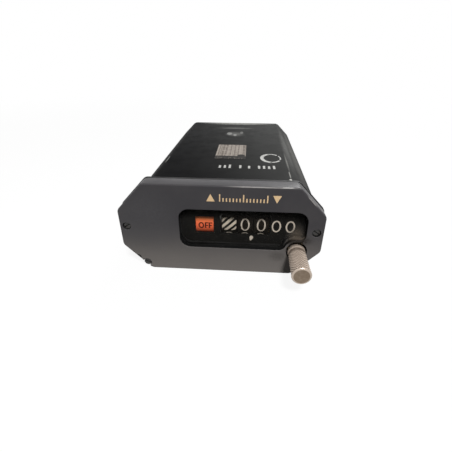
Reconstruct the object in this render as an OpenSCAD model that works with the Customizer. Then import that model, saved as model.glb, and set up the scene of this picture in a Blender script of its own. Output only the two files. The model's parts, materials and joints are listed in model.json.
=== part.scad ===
// Panel altitude alerter: a drum counter set by a knob, in an octagonal instrument case.
// Millimetres. +X is to the right seen from the front, +Y goes into the panel, +Z is up.
// Lengths called depth are measured along +Y from the bezel's front face.

/* [Bezel] */
// Width of the bezel
bezel_w = 86; // [84:0.5:90]
// Height of the bezel
bezel_h = 41.3; // [41:0.1:44]
// Thickness of the bezel
bezel_t = 6.8; // [6.4:0.1:8]
// Width that each cut corner takes from the top and bottom edges
bezel_cut_w = 11.6; // [9:0.1:12]
// Height that each cut corner takes from the side edges
bezel_cut_h = 12.2; // [9:0.1:13]
// Radius that softens the eight corners of the bezel
bezel_corner_r = 3; // [1:0.5:4]
// Thickness of the black flange plate behind the bezel
flange_t = 1.2; // [0.8:0.1:1.6]
// Distance that the flange stands out past the bezel's sides and cut corners
flange_lip = 0.35; // [0.1:0.05:0.5]

/* [Window] */
// Left edge of the window
window_left = -17.3; // [-19:0.1:-16]
// Right edge of the window
window_right = 36; // [35:0.1:36.5]
// Lower edge of the window
window_low = -8.25; // [-9:0.05:-7.5]
// Upper edge of the window
window_high = 9.95; // [9:0.05:11]
// Corner radius of the window
window_r = 4.5; // [2:0.1:5]
// Thickness of the bezel's lip in front of the glass
window_lip = 2; // [1.5:0.1:2.4]
// Thickness of the window glass
glass_t = 1.6; // [1.2:0.1:1.8]
// Depth of the dial mask's front face
mask_depth = 4.6; // [4.4:0.05:4.7]
// Thickness of the dial mask
mask_t = 0.6; // [0.4:0.05:0.6]

/* [Knob] */
// Place of the knob to the right of the centre
knob_x = 32.7; // [32:0.1:33]
// Height of the knob above the centre
knob_z = -8.45; // [-9:0.05:-8]
// Radius of the knob at its front end
knob_r = 3.95; // [3.4:0.05:4]
// Amount by which the knob is thinner at its collar
knob_taper = 0.25; // [0:0.05:0.4]
// Distance that the knob stands out of the bezel
knob_reach = 16.8; // [12:0.1:25]
// Radius of the knob's hole in the bezel
knob_hole_r = 4.4; // [4.2:0.05:4.6]
// Radius of the round boss that carries the knob's hole
knob_boss_r = 5.3; // [5.2:0.05:6]
// Radius of the web between the boss and the window's lower edge
web_low_r = 3; // [1:0.1:3.5]
// Radius of the web between the boss and the window's right edge
web_side_r = 2.3; // [0.7:0.1:2.4]

/* [Case] */
// Width of the case
case_w = 76.4; // [76:0.1:76.8]
// Height of the case
case_h = 41; // [40.8:0.1:41.3]
// Width that each cut corner takes from the case
case_cut_w = 8.55; // [8.4:0.05:9]
// Height that each cut corner takes from the case
case_cut_h = 8.55; // [8.4:0.05:9]
// Bend radius along the edges of the case
case_r = 4; // [2:0.5:4]
// Place of the middle of the case to the right of the middle of the bezel
case_x = 1; // [0:0.1:1]
// Depth of the back face of the case
case_back = 120.5; // [118:0.5:130]
// Thickness of the sheet that the case is made of
sheet = 0.8; // [0.6:0.1:1]

/* [Counter] */
// Radius of the number drums
drum_r = 12; // [11.5:0.1:12]
// Width of each number drum
drum_w = 6.6; // [6.4:0.1:6.7]
// Distance from one drum to the next
drum_pitch = 6.96; // [6.9:0.01:7]
// Place of the left drum to the right of the centre
first_drum_x = 3.5; // [3.4:0.05:3.6]
// Depth of the drums' axis
drum_depth = 17.5; // [17.5:0.1:18]
// Height of the drums' axis
drum_z = 0.9; // [0.7:0.1:1]

/* [Connector] */
// Radius of the connector's barrel
barrel_r = 12.7; // [12.5:0.1:13.5]
// Distance from the back of the case to the connector's mouth
barrel_reach = 14.5; // [14:0.5:18]

/* [Hidden] */
$fn = 64;

// The part stands on z = 0 and is centred on y = 0
overall_len = knob_reach + case_back + barrel_reach;
face_y = knob_reach - overall_len / 2;
mid_z = bezel_h / 2;

// Pocket behind the window, for the glass, the spacer, the mask and the retainer
pocket_rim = 1.2;
pocket_fit = 0.1;

// Openings in the dial mask for the flag and for the drums, and in the plates behind it
flag_window = [-11.05, -3.1, -3.5, 4.5];
drum_window = [-0.4, 21.1, -3.55, 5.4];
retainer_opening = [-12.4, 21.6, -6.5, 8.3];
retainer_opening_r = 2;
flange_opening_right = 25.5;
flange_opening_r = 3;

// Stack of plates behind the bezel
flange_back = bezel_t + flange_t;
shoulder_t = 0.9;
case_front = flange_back + shoulder_t;
front_plate_back = case_front + 2.1;
slip = 0.05;
case_z = case_h / 2 - mid_z;
rear_cover_t = 1.6;
rear_spigot_t = 2.5;
sleeve_back = case_back - rear_cover_t;
spigot_front = sleeve_back - rear_spigot_t;

// Screws and rods
screw_x = 40;
screw_z = 0.9;
screw_hole_r = 1.75;
screw_head_r = 1.45;
screw_seat = 2.4;
screw_r = 1;
clamp_x = -33.3;
clamp_z = -17.9;
clamp_notch_r = 1.9;
clamp_head_r = 1.75;
clamp_head_front = 1.1;
clamp_r = 0.8;
clamp_nut_r = 1.25;
rod_x = 35.3;
rod_high = 5.2;
rod_low = -3;
rod_r = 1.8;
rod_thread_r = 1;
lamp_x = -20.3;
lamp_z = 5;
lamp_r = 1.5;

// Opening in the front plate, past which the counter and the flag turn
opening_left = -27.5;
opening_right = 22.9;
opening_low = -12;
opening_high = 13;

// Chassis tray and upright plates
tray_low = -19.4;
tray_t = 1.2;
tray_top = tray_low + tray_t;
tray_w = 55;
plate_t = 1;
left_plate_x = -1.4;
right_plate_x = 23.3;
plate_high = 17;
plate_back = 58;
shelf_depth = 36;
shelf_z = 4;
slant_depth = 30;
tray_lug_w = 8;
tray_lug_high = -14;

// Screws that hold the tabs of the upright plates and the flag bracket to the front plate
tab_screws = [[-4, 15.2], [-4, -15.2], [26.4, 15.2], [26.4, -15.2], [-15.9, 14.6], [-15.9, -14.6]];
tab_screw_r = 0.8;
tab_t = 1;
tab_w = 5;

// Counter gearing: one turn of the knob is one turn of the hundreds drum
gear_module = 0.5;
gear_teeth = 30;
gear_x = 21.3;
gear_w = 1.5;
gear_distance = gear_teeth * gear_module;
shaft_r = 1.5;
running = 0.04;
clip_r = 2.6;
clip_t = 0.4;
cross_depth = drum_depth + sqrt(gear_distance ^ 2 - (drum_z - knob_z) ^ 2);
mesh_angle = atan2(knob_z - drum_z, cross_depth - drum_depth);
half_tooth = 180 / gear_teeth;
drum_gear_phase = mesh_angle;
cross_gear_phase = mesh_angle + 180 + half_tooth;
synchro_gear_phase = 180 - cross_gear_phase + half_tooth;
synchro_depth = cross_depth + gear_distance;
synchro_r = 9.5;
synchro_left = -13;
synchro_front = 18.6;
synchro_pilot_r = 6.35;
synchro_pilot_t = 1.4;

// Detent wheel on the cross shaft
detent_left = -4.2;
detent_right = -2.8;
detent_r = 4.8;

// Bevel pair at the knob, two equal gears at right angles
bevel_teeth = 20;
bevel_module = 0.4;
bevel_r = bevel_teeth * bevel_module / 2;
bevel_face = 1.6;
bevel_hub_r = 2.9;
bevel_hub = 2.7;
knob_shaft_r = 2;
knob_bore = 8;
knob_neck_r = 2.9;
boss_front_r = knob_boss_r + 0.1;
knob_pin_depth = 2;
knob_pin_r = 0.6;

// Transfer gearing inside the drums: a toothed ring in the drum and a pinion on a fixed plate
ring_module = 0.48;
ring_teeth = 40;
pinion_teeth = 8;
ring_r = ring_teeth * ring_module / 2;
pinion_offset = ring_r - pinion_teeth * ring_module / 2;
rim_inner_r = 10.9;
web_t = 0.9;
hub_r = 3;
driver_r = 5;
pinion_arbor_r = 0.5;

// Flag that shows when the power is off
flag_depth = 14;
flag_z = 0.5;
flag_r = 8.4;
flag_t = 0.5;
flag_left = -11.6;
flag_right = -2.6;
flag_cheek = 0.6;
flag_shaft_r = 0.8;
flag_half_angle = 35;
bracket_x = -14.2;
coil_left = -26;
coil_r = 5.5;

// Circuit boards
board_t = 1.6;
lower_board_z = -12;
upper_board_z = 4;
board_front = 62;
board_back = 112;
board_w = 50;
pillar_x = 21;
pillar_inset = 4;
pillar_r = 2;
stud_r = 1.1;
large_capacitors = [[-14, 72], [-14, 82], [-14, 92], [-3, 72]];
small_capacitors = [[8, 74], [8, 84], [16, 78], [16, 96]];

// Connector
connector_flange = 31;
connector_flange_t = 2;
barrel_wall = 1.2;
barrel_back_r = 12;
insert_face = case_back + 4.5;
insert_back = case_back - 6.5;
contact_reach = 5;
contact_r = 0.5;
connector_screw_spacing = 24;
connector_screw_r = 1.2;
connector_fit = 0.1;

// Contacts stand on a centre point and two rings
contacts = [
    [0, 0],
    for (a = [0:60:300]) 3.6 * [cos(a), sin(a)],
    for (a = [15:30:345]) 7.4 * [cos(a), sin(a)]
];

// Moves children to a place given as x, depth from the face, and height above the centre
module at(x, depth, z) {
    translate([x, face_y + depth, mid_z + z]) children();
}

// Extrudes a front-view outline from one depth to another
module deep(from, to, x = 0, z = 0) {
    at(x, to, z) rotate([90, 0, 0]) linear_extrude(to - from) children();
}

// Extrudes a side-view outline, drawn as depth and height, from one x to another
module across(from, to, depth = 0, z = 0) {
    at(from, depth, z) rotate([90, 0, 90]) linear_extrude(to - from) children();
}

// Round bar along the depth
module bar_deep(x, z, from, to, r) {
    at(x, from, z) rotate([-90, 0, 0]) cylinder(h = to - from, r = r);
}

// Round bar along the width
module bar_across(from, to, depth, z, r) {
    at(from, depth, z) rotate([0, 90, 0]) cylinder(h = to - from, r = r);
}

// Round bar upright
module bar_up(x, depth, from, to, r) {
    at(x, depth, from) cylinder(h = to - from, r = r);
}

// Rectangular block between two corners
module block(x0, x1, depth0, depth1, z0, z1) {
    at(x0, depth0, z0) cube([x1 - x0, depth1 - depth0, z1 - z0]);
}

function unit(v) = v / norm(v);

// Arc points that round the corner q between its neighbours p and s, going anticlockwise
function rounded_corner(p, q, s, r, steps) =
    let (
        u = unit(q - p),
        v = unit(s - q),
        turn = acos(u * v),
        centre = q - u * r * tan(turn / 2) + [-u[1], u[0]] * r,
        start = atan2(-u[0], u[1])
    )
    [for (i = [0:steps]) let (a = start + turn * i / steps) centre + r * [cos(a), sin(a)]];

// Octagon with cut corners, drawn inward by inset, with each corner rounded to radius r
module octagon(w, h, cut_w, cut_h, r, inset = 0) {
    slope = norm([cut_w, cut_h]);
    shrink = inset * (cut_w + cut_h - slope);
    x = w / 2 - inset;
    y = h / 2 - inset;
    cx = cut_w - shrink / cut_h;
    cy = cut_h - shrink / cut_w;
    corners = [
        [x, cy - y], [x, y - cy], [x - cx, y], [cx - x, y],
        [-x, y - cy], [-x, cy - y], [cx - x, -y], [x - cx, -y]
    ];
    polygon([
        for (i = [0:7])
            each rounded_corner(corners[(i + 7) % 8], corners[i], corners[(i + 1) % 8], r, 6)
    ]);
}

// Rectangle between two corners with rounded corners
module rounded_rect(x0, x1, y0, y1, r) {
    translate([x0 + r, y0]) square([x1 - x0 - 2 * r, y1 - y0]);
    translate([x0, y0 + r]) square([x1 - x0, y1 - y0 - 2 * r]);
    for (x = [x0 + r, x1 - r], y = [y0 + r, y1 - r]) translate([x, y]) circle(r);
}

// Outline of the case, drawn inward by inset
module case_outline(inset, r = case_r) {
    octagon(case_w, case_h, case_cut_w, case_cut_h, r, inset);
}

// Outline of the window grown by margin, without the boss of the knob grown by gap
module window_outline(margin, gap) {
    difference() {
        rounded_rect(window_left - margin, window_right + margin,
            window_low - margin, window_high + margin, window_r);
        translate([knob_x, knob_z]) circle(knob_boss_r + gap);
    }
}

// Points of an arc round a middle, from one angle to another
function arc_points(middle, r, from, to, steps) = [
    for (i = [0:steps])
        let (a = from + (to - from) * i / steps)
        middle + r * [cos(a), sin(a)]
];

// Outline of the boss at the lip, with a web to the window's lower edge and one to its right edge
module boss_outline() {
    low = [
        knob_x - sqrt((boss_front_r + web_low_r) ^ 2 - (window_low + web_low_r - knob_z) ^ 2),
        window_low + web_low_r
    ];
    side = [
        window_right - web_side_r,
        knob_z + sqrt((boss_front_r + web_side_r) ^ 2 - (window_right - web_side_r - knob_x) ^ 2)
    ];
    leave = atan2(low[1] - knob_z, low[0] - knob_x);
    meet = atan2(side[1] - knob_z, side[0] - knob_x);
    turn = (meet - leave) / 14;
    polygon(concat(
        [[low[0], window_low - 1]],
        arc_points(low, web_low_r, -90, leave - 180, 8),
        arc_points([knob_x, knob_z], boss_front_r, leave + turn, meet - turn, 12),
        arc_points(side, web_side_r, meet - 180, 0, 8),
        [[window_right + 1, side[1]], [window_right + 1, window_low - 1]]
    ));
}

// Outline of a spur gear; each tooth is a row of [place in the tooth pitch, height in modules]
function gear_points(teeth, size, phase) =
    let (tooth = [[-0.3, -0.95], [-0.22, 0], [-0.12, 0.75], [0.12, 0.75], [0.22, 0], [0.3, -0.95]])
    [
        for (i = [0:teeth - 1], step = tooth)
            let (a = phase + 360 / teeth * (i + step[0]), r = size * (teeth / 2 + step[1]))
            r * [cos(a), sin(a)]
    ];

// Outline of the space inside a toothed ring, with a gap between teeth at the phase angle
function ring_points(teeth, size, phase) =
    let (gap = [[-0.38, -0.75], [-0.28, 0], [-0.18, 0.95], [0.18, 0.95], [0.28, 0], [0.38, -0.75]])
    [
        for (i = [0:teeth - 1], step = gap)
            let (a = phase + 360 / teeth * (i + step[0]), r = size * (teeth / 2 + step[1]))
            r * [cos(a), sin(a)]
    ];

module spur_gear_outline(phase, bore) {
    difference() {
        polygon(gear_points(gear_teeth, gear_module, phase));
        circle(bore);
    }
}

// Slot across a screw's head, cut from the front
module slot_cut(x, z, from, depth, length, angle) {
    at(x, from, z) rotate([0, angle, 0]) translate([-length / 2, -1, -0.25])
        cube([length, depth + 1, 0.5]);
}

module bezel() {
    color([0.27, 0.26, 0.27]) difference() {
        deep(0, bezel_t) octagon(bezel_w, bezel_h, bezel_cut_w, bezel_cut_h, bezel_corner_r);
        deep(-1, window_lip + 0.01) difference() {
            rounded_rect(window_left, window_right, window_low, window_high, window_r);
            boss_outline();
        }
        deep(window_lip, bezel_t + 1) window_outline(pocket_rim, 0);
        bar_deep(knob_x, knob_z, -1, bezel_t + 1, knob_hole_r);
        for (side = [-1, 1]) {
            bar_deep(side * screw_x, screw_z, -1, screw_seat, screw_hole_r);
            bar_deep(side * screw_x, screw_z, screw_seat - 0.01, bezel_t + 1, screw_r + 0.1);
            bar_deep(lamp_x, side * lamp_z, 3, bezel_t + 1, lamp_r + 0.1);
        }
        bar_deep(clamp_x, clamp_z, -1, bezel_t + 1, clamp_notch_r);
    }
}

module mounting_flange() {
    color([0.05, 0.05, 0.05]) difference() {
        deep(bezel_t, flange_back)
            octagon(bezel_w + 2 * flange_lip, bezel_h, bezel_cut_w, bezel_cut_h, bezel_corner_r);
        deep(bezel_t - 1, flange_back + 1)
            rounded_rect(window_left, flange_opening_right, window_low, window_high,
                flange_opening_r);
        bar_deep(knob_x, knob_z, bezel_t - 1, flange_back + 1, knob_hole_r);
        for (side = [-1, 1])
            bar_deep(side * screw_x, screw_z, bezel_t - 1, flange_back + 1, screw_r);
        bar_deep(clamp_x, clamp_z, bezel_t - 1, flange_back + 1, clamp_r + 0.05);
    }
}

module window_glass() {
    color([0.55, 0.62, 0.62, 0.4]) deep(window_lip, window_lip + glass_t)
        window_outline(pocket_rim - pocket_fit, pocket_fit);
}

module window_spacer() {
    color([0.04, 0.04, 0.04]) deep(window_lip + glass_t, mask_depth) difference() {
        window_outline(pocket_rim - pocket_fit, pocket_fit);
        window_outline(-0.2, pocket_rim);
    }
}

module dial_mask() {
    color([0.06, 0.06, 0.06]) deep(mask_depth, mask_depth + mask_t) difference() {
        window_outline(pocket_rim - pocket_fit, pocket_fit);
        for (w = [flag_window, drum_window]) translate([w[0], w[2]]) square([w[1] - w[0], w[3] - w[2]]);
    }
}

module window_retainer() {
    o = retainer_opening;
    color([0.1, 0.1, 0.1]) deep(mask_depth + mask_t, bezel_t) difference() {
        window_outline(pocket_rim - pocket_fit, pocket_fit);
        rounded_rect(o[0], o[1], o[2], o[3], retainer_opening_r);
    }
}

module bezel_screws() {
    color([0.3, 0.3, 0.3]) for (side = [-1, 1]) difference() {
        union() {
            bar_deep(side * screw_x, screw_z, screw_seat - 1.6, screw_seat, screw_head_r);
            bar_deep(side * screw_x, screw_z, screw_seat, flange_back, screw_r);
        }
        slot_cut(side * screw_x, screw_z, screw_seat - 1.6, 0.7, 4, 35 * side);
    }
}

module clamp_screw() {
    color([0.32, 0.31, 0.3]) difference() {
        union() {
            bar_deep(clamp_x, clamp_z, clamp_head_front, bezel_t, clamp_head_r);
            bar_deep(clamp_x, clamp_z, bezel_t, 21, clamp_r);
        }
        slot_cut(clamp_x, clamp_z, clamp_head_front, 0.7, 5, 20);
    }
}

module clamp_nut() {
    color([0.6, 0.56, 0.4]) difference() {
        bar_deep(clamp_x, clamp_z, 13, 19, clamp_nut_r);
        bar_deep(clamp_x, clamp_z, 12, 20, clamp_r);
    }
}

module panel_lamps() {
    color([0.9, 0.88, 0.75]) for (side = [-1, 1]) {
        bar_deep(lamp_x, side * lamp_z, 4.6, bezel_t, lamp_r);
        at(lamp_x, 4.6, side * lamp_z) sphere(lamp_r - 0.1);
    }
}

module front_plate() {
    color([0.62, 0.62, 0.6]) difference() {
        union() {
            deep(flange_back, case_front, case_x, case_z) case_outline(0.4);
            deep(case_front, front_plate_back, case_x, case_z) case_outline(sheet + slip);
        }
        deep(flange_back - 1, front_plate_back + 1)
            rounded_rect(opening_left, opening_right, opening_low, opening_high, 3);
        bar_deep(knob_x, knob_z, flange_back - 1, front_plate_back + 1, 3.5);
        for (side = [-1, 1], z = [rod_high, rod_low])
            bar_deep(case_x + side * rod_x, z, flange_back - 1, front_plate_back + 1, rod_thread_r);
        for (place = tab_screws)
            bar_deep(place[0], place[1], flange_back + 0.6, front_plate_back + 1, tab_screw_r);
    }
}

module case_sleeve() {
    color([0.11, 0.11, 0.11]) difference() {
        deep(case_front, sleeve_back, case_x, case_z) case_outline(0);
        deep(case_front - 1, sleeve_back + 1, case_x, case_z) case_outline(sheet, case_r - sheet);
    }
}

module rear_cover() {
    color([0.12, 0.12, 0.12]) difference() {
        union() {
            deep(sleeve_back, case_back, case_x, case_z) case_outline(0);
            deep(spigot_front, sleeve_back, case_x, case_z) case_outline(sheet + slip);
        }
        bar_deep(0, case_z, spigot_front - 1, case_back + 1, barrel_back_r + connector_fit);
        for (side = [-1, 1], z = [rod_high, rod_low])
            bar_deep(case_x + side * rod_x, z, spigot_front - 1, case_back + 1, rod_thread_r);
        for (x = [-1, 1], z = [-1, 1])
            bar_deep(x * connector_screw_spacing / 2, case_z + z * connector_screw_spacing / 2,
                spigot_front - 1, case_back + 1, connector_screw_r);
    }
}

module rear_cover_screws() {
    color([0.45, 0.45, 0.44]) for (side = [-1, 1], z = [rod_high, rod_low]) difference() {
        union() {
            bar_deep(case_x + side * rod_x, z, case_back, case_back + 1.2, 1.9);
            bar_deep(case_x + side * rod_x, z, spigot_front - 4, case_back, rod_thread_r);
        }
        at(case_x + side * rod_x, case_back + 0.6, z) rotate([0, 40, 0]) translate([-3, 0, -0.3])
            cube([6, 2, 0.6]);
    }
}

module tie_rods() {
    color([0.66, 0.65, 0.62]) for (side = [-1, 1], z = [rod_high, rod_low]) difference() {
        union() {
            bar_deep(case_x + side * rod_x, z, front_plate_back, spigot_front, rod_r);
            bar_deep(case_x + side * rod_x, z, flange_back + 0.4, front_plate_back, rod_thread_r);
        }
        bar_deep(case_x + side * rod_x, z, spigot_front - 5, spigot_front + 1, rod_thread_r);
    }
}

module chassis_tray() {
    color([0.68, 0.68, 0.66]) {
        block(-tray_w / 2, tray_w / 2, front_plate_back, spigot_front, tray_low, tray_top);
        for (x = [-27, 4])
            block(x, x + tray_lug_w, front_plate_back, front_plate_back + tray_t,
                tray_top - 0.01, tray_lug_high);
        block(-20, 20, spigot_front - tray_t, spigot_front, tray_top - 0.01, tray_lug_high);
    }
}

// Side-view outline of the two upright plates
module upright_outline() {
    polygon([
        [front_plate_back, tray_top], [plate_back, tray_top], [plate_back, shelf_z],
        [shelf_depth, shelf_z], [slant_depth, plate_high], [front_plate_back, plate_high]
    ]);
}

// Tabs that turn out from an upright plate against the front plate
module plate_tabs(from, to) {
    for (z = [[13.5, plate_high], [-17.5, -13.5]])
        block(from, to, front_plate_back, front_plate_back + tab_t, z[0], z[1]);
}

module counter_plate_left() {
    color([0.7, 0.7, 0.67]) difference() {
        union() {
            across(left_plate_x, left_plate_x + plate_t) upright_outline();
            plate_tabs(left_plate_x - tab_w, left_plate_x + 0.01);
        }
        bar_across(left_plate_x - 1, 1, drum_depth, drum_z, shaft_r);
        bar_across(left_plate_x - 1, 1, cross_depth, knob_z, shaft_r + running);
        bar_across(left_plate_x - 1, 1, synchro_depth, knob_z, synchro_r);
        bar_across(left_plate_x - 1, 1, flag_depth, flag_z, flag_shaft_r + running);
        for (place = tab_screws)
            bar_deep(place[0], place[1], front_plate_back - 1, front_plate_back + 2, tab_screw_r);
    }
}

module counter_plate_right() {
    color([0.7, 0.7, 0.67]) difference() {
        union() {
            across(right_plate_x, right_plate_x + plate_t) upright_outline();
            plate_tabs(right_plate_x + plate_t - 0.01, right_plate_x + plate_t + tab_w);
        }
        bar_across(right_plate_x - 1, 26, drum_depth, drum_z, shaft_r);
        bar_across(right_plate_x - 1, 26, cross_depth, knob_z, shaft_r + running);
        bar_across(right_plate_x - 1, 26, synchro_depth, knob_z, shaft_r + running);
        for (place = tab_screws)
            bar_deep(place[0], place[1], front_plate_back - 1, front_plate_back + 2, tab_screw_r);
    }
}

// Spacers that hold the two upright plates apart
module counter_pillars() {
    color([0.6, 0.6, 0.58]) {
        bar_across(left_plate_x + plate_t, right_plate_x, 28, 13, 1.5);
        bar_across(left_plate_x + plate_t, right_plate_x, 56.2, -1, 1.5);
    }
}

module plate_screws() {
    color([0.5, 0.5, 0.5]) for (place = tab_screws) {
        bar_deep(place[0], place[1], front_plate_back + tab_t, front_plate_back + tab_t + 1.2, 1.5);
        bar_deep(place[0], place[1], flange_back + 0.7, front_plate_back + tab_t, tab_screw_r);
    }
}

module drum_shaft() {
    color([0.75, 0.75, 0.76])
        bar_across(left_plate_x - 0.7, right_plate_x + plate_t + 0.7, drum_depth, drum_z, shaft_r);
}

module shaft_clips() {
    color([0.25, 0.25, 0.26]) for (x = [left_plate_x - clip_t, right_plate_x + plate_t])
        across(x, x + clip_t, drum_depth, drum_z) difference() {
            circle(clip_r);
            circle(shaft_r);
            translate([0, -0.8]) square([clip_r + 1, 1.6]);
        }
}

function drum_x(index) = first_drum_x + index * drum_pitch;

// Cup-shaped number drum on its hub, open to the right
module drum_cup(index) {
    left = drum_x(index) - drum_w / 2;
    difference() {
        union() {
            bar_across(left, left + web_t, drum_depth, drum_z, drum_r);
            across(left + web_t - 0.01, left + drum_w, drum_depth, drum_z) difference() {
                circle(drum_r, $fn = 128);
                circle(rim_inner_r, $fn = 128);
            }
            bar_across(left, left + 4, drum_depth, drum_z, hub_r);
        }
        bar_across(left - 1, left + 5, drum_depth, drum_z, shaft_r + running);
    }
}

// Toothed ring in the bottom of a drum's cup
module drum_ring(index) {
    left = drum_x(index) - drum_w / 2 + web_t;
    across(left, left + 1.5, drum_depth, drum_z) difference() {
        circle(rim_inner_r + 0.05);
        polygon(ring_points(ring_teeth, ring_module, 0));
    }
}

// Round driver on a drum's left face, cut back at the two carrying teeth
module drum_driver(index) {
    left = drum_x(index) - drum_w / 2;
    across(left - 1.6, left + 0.01, drum_depth, drum_z) difference() {
        circle(driver_r);
        circle(shaft_r + running);
        for (a = [160, 172, 184]) rotate(a) translate([driver_r, 0]) circle(0.45, $fn = 24);
    }
}

module drum_ten_thousands() {
    color([0.08, 0.08, 0.08]) {
        drum_cup(0);
        drum_ring(0);
    }
}

module drum_thousands() {
    color([0.08, 0.08, 0.08]) {
        drum_cup(1);
        drum_ring(1);
        drum_driver(1);
    }
}

module drum_hundreds() {
    left = drum_x(2) - drum_w / 2;
    color([0.08, 0.08, 0.08]) {
        drum_cup(2);
        drum_driver(2);
        across(left + 3.9, gear_x + gear_w + 0.1, drum_depth, drum_z) difference() {
            circle(hub_r);
            circle(shaft_r + running);
        }
    }
}

module hundreds_gear() {
    color([0.72, 0.58, 0.3]) across(gear_x, gear_x + gear_w, drum_depth, drum_z)
        spur_gear_outline(drum_gear_phase, hub_r);
}

// Fixed plate inside a drum's cup, with the bearing of the transfer pinion
module transfer_plate(index) {
    left = drum_x(index) + 1;
    across(left, left + 0.6, drum_depth, drum_z) difference() {
        circle(10.4);
        circle(shaft_r);
        translate([pinion_offset, 0]) circle(pinion_arbor_r + running);
        for (a = [60:60:300]) rotate(a) translate([6.5, 0]) circle(1.8);
    }
}

module transfer_plate_left() {
    color([0.72, 0.72, 0.7]) transfer_plate(0);
}

module transfer_plate_right() {
    color([0.72, 0.72, 0.7]) transfer_plate(1);
}

// Two small pinions on one arbor: one meshes with the drum's ring, one faces the next drum
module transfer_pinion(index) {
    x = drum_x(index);
    across(x - 2.3, x - 0.8, drum_depth + pinion_offset, drum_z)
        polygon(gear_points(pinion_teeth, ring_module, 0));
    bar_across(x - 0.81, x + 2.21, drum_depth + pinion_offset, drum_z, pinion_arbor_r);
    across(x + 2.2, x + 3.4, drum_depth + pinion_offset, drum_z)
        polygon(gear_points(pinion_teeth, ring_module, 0));
}

module transfer_pinion_left() {
    color([0.78, 0.64, 0.34]) transfer_pinion(0);
}

module transfer_pinion_right() {
    color([0.78, 0.64, 0.34]) transfer_pinion(1);
}

module cross_shaft() {
    color([0.74, 0.74, 0.75])
        bar_across(-5, knob_x - bevel_r + bevel_face, cross_depth, knob_z, shaft_r);
}

module cross_gear() {
    color([0.72, 0.58, 0.3]) across(gear_x, gear_x + gear_w, cross_depth, knob_z)
        spur_gear_outline(cross_gear_phase, shaft_r);
}

// Tapered teeth of a bevel gear, standing on its large end, with the hub below
module bevel_gear(phase, bore) {
    difference() {
        union() {
            linear_extrude(bevel_face, scale = 1 - bevel_face / bevel_r)
                polygon(gear_points(bevel_teeth, bevel_module, phase));
            translate([0, 0, -bevel_hub]) cylinder(h = bevel_hub + 0.01, r = bevel_hub_r);
        }
        translate([0, 0, -bevel_hub - 1]) cylinder(h = bevel_hub + bevel_face + 2, r = bore);
    }
}

module cross_bevel_gear() {
    color([0.74, 0.6, 0.32]) at(knob_x - bevel_r, cross_depth, knob_z) rotate([90, 0, 90])
        bevel_gear(180 + 180 / bevel_teeth, shaft_r);
}

module knob_bevel_gear() {
    color([0.74, 0.6, 0.32]) at(knob_x, cross_depth - bevel_r, knob_z) rotate([-90, 0, 0])
        bevel_gear(180, knob_shaft_r);
}

// Wheel with ten notches, one for each figure of the hundreds drum
module detent_wheel() {
    color([0.7, 0.7, 0.72]) across(detent_left, detent_right, cross_depth, knob_z) difference() {
        circle(detent_r);
        circle(shaft_r);
        for (i = [0:9]) rotate(90 + 36 * i) translate([detent_r, 0]) circle(0.7, $fn = 24);
    }
}

// Leaf that presses over the detent wheel, held to the left upright plate
module detent_spring() {
    color([0.66, 0.62, 0.5]) {
        block(detent_left, detent_right, cross_depth - 9, cross_depth + 1.2,
            knob_z + detent_r + 0.6, knob_z + detent_r + 0.85);
        bar_across(detent_left, detent_right, cross_depth, knob_z + detent_r + 0.6, 0.45);
        block(detent_left, left_plate_x, cross_depth - 9, cross_depth - 6.4,
            knob_z + detent_r + 0.84, knob_z + detent_r + 2.2);
    }
}

// Round grip on a thin neck, with a plain collar, a groove before it and a chamfered end
module knob() {
    seat = 4;
    collar_r = knob_r - knob_taper;
    color([0.62, 0.57, 0.52]) difference() {
        at(knob_x, 0, knob_z) rotate([90, 0, 0]) rotate_extrude() polygon([
            [0, -seat], [knob_neck_r, -seat], [knob_neck_r, 0], [collar_r, 0], [collar_r, 1.7],
            [collar_r - 0.3, 1.9], [collar_r - 0.3, 2.3], [collar_r, 2.4],
            [knob_r, knob_reach - 0.5], [knob_r - 0.2, knob_reach - 0.15],
            [knob_r - 0.75, knob_reach], [0, knob_reach]
        ]);
        bar_deep(knob_x, knob_z, -knob_bore, seat + 1, knob_shaft_r);
        bar_up(knob_x, knob_pin_depth, knob_z - 5, knob_z + 5, knob_pin_r);
    }
}

module knob_pin() {
    color([0.4, 0.4, 0.4])
        bar_up(knob_x, knob_pin_depth, knob_z - 2.8, knob_z + 2.8, knob_pin_r);
}

module knob_shaft() {
    color([0.72, 0.72, 0.73]) difference() {
        bar_deep(knob_x, knob_z, -knob_bore, cross_depth - bevel_r + bevel_face, knob_shaft_r);
        bar_up(knob_x, knob_pin_depth, knob_z - 5, knob_z + 5, knob_pin_r);
    }
}

module knob_bush() {
    color([0.76, 0.62, 0.35]) difference() {
        union() {
            bar_deep(knob_x, knob_z, bezel_t + 0.1, flange_back, 4.2);
            bar_deep(knob_x, knob_z, flange_back - 0.01, front_plate_back + 1.6, 3.5);
        }
        bar_deep(knob_x, knob_z, bezel_t - 1, front_plate_back + 3, knob_shaft_r + running);
    }
}

module knob_collar() {
    color([0.6, 0.6, 0.6]) difference() {
        bar_deep(knob_x, knob_z, front_plate_back + 1.7, front_plate_back + 4.2, 3.6);
        bar_deep(knob_x, knob_z, front_plate_back + 1, front_plate_back + 5, knob_shaft_r);
    }
}

// Wedge that spans the flag's curved front, drawn as depth and height
module flag_wedge() {
    reach = 2 * flag_r;
    polygon([[0, 0], [-reach, -reach * tan(flag_half_angle)], [-reach, reach * tan(flag_half_angle)]]);
}

module off_flag() {
    color([0.8, 0.3, 0.14]) {
        across(flag_left, flag_right, flag_depth, flag_z) intersection() {
            flag_wedge();
            difference() {
                circle(flag_r, $fn = 96);
                circle(flag_r - flag_t, $fn = 96);
            }
        }
        for (x = [flag_left, flag_right - flag_cheek])
            across(x, x + flag_cheek, flag_depth, flag_z) difference() {
                union() {
                    intersection() {
                        flag_wedge();
                        circle(flag_r - 0.1, $fn = 96);
                    }
                    circle(2);
                }
                circle(flag_shaft_r);
            }
    }
}

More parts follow.
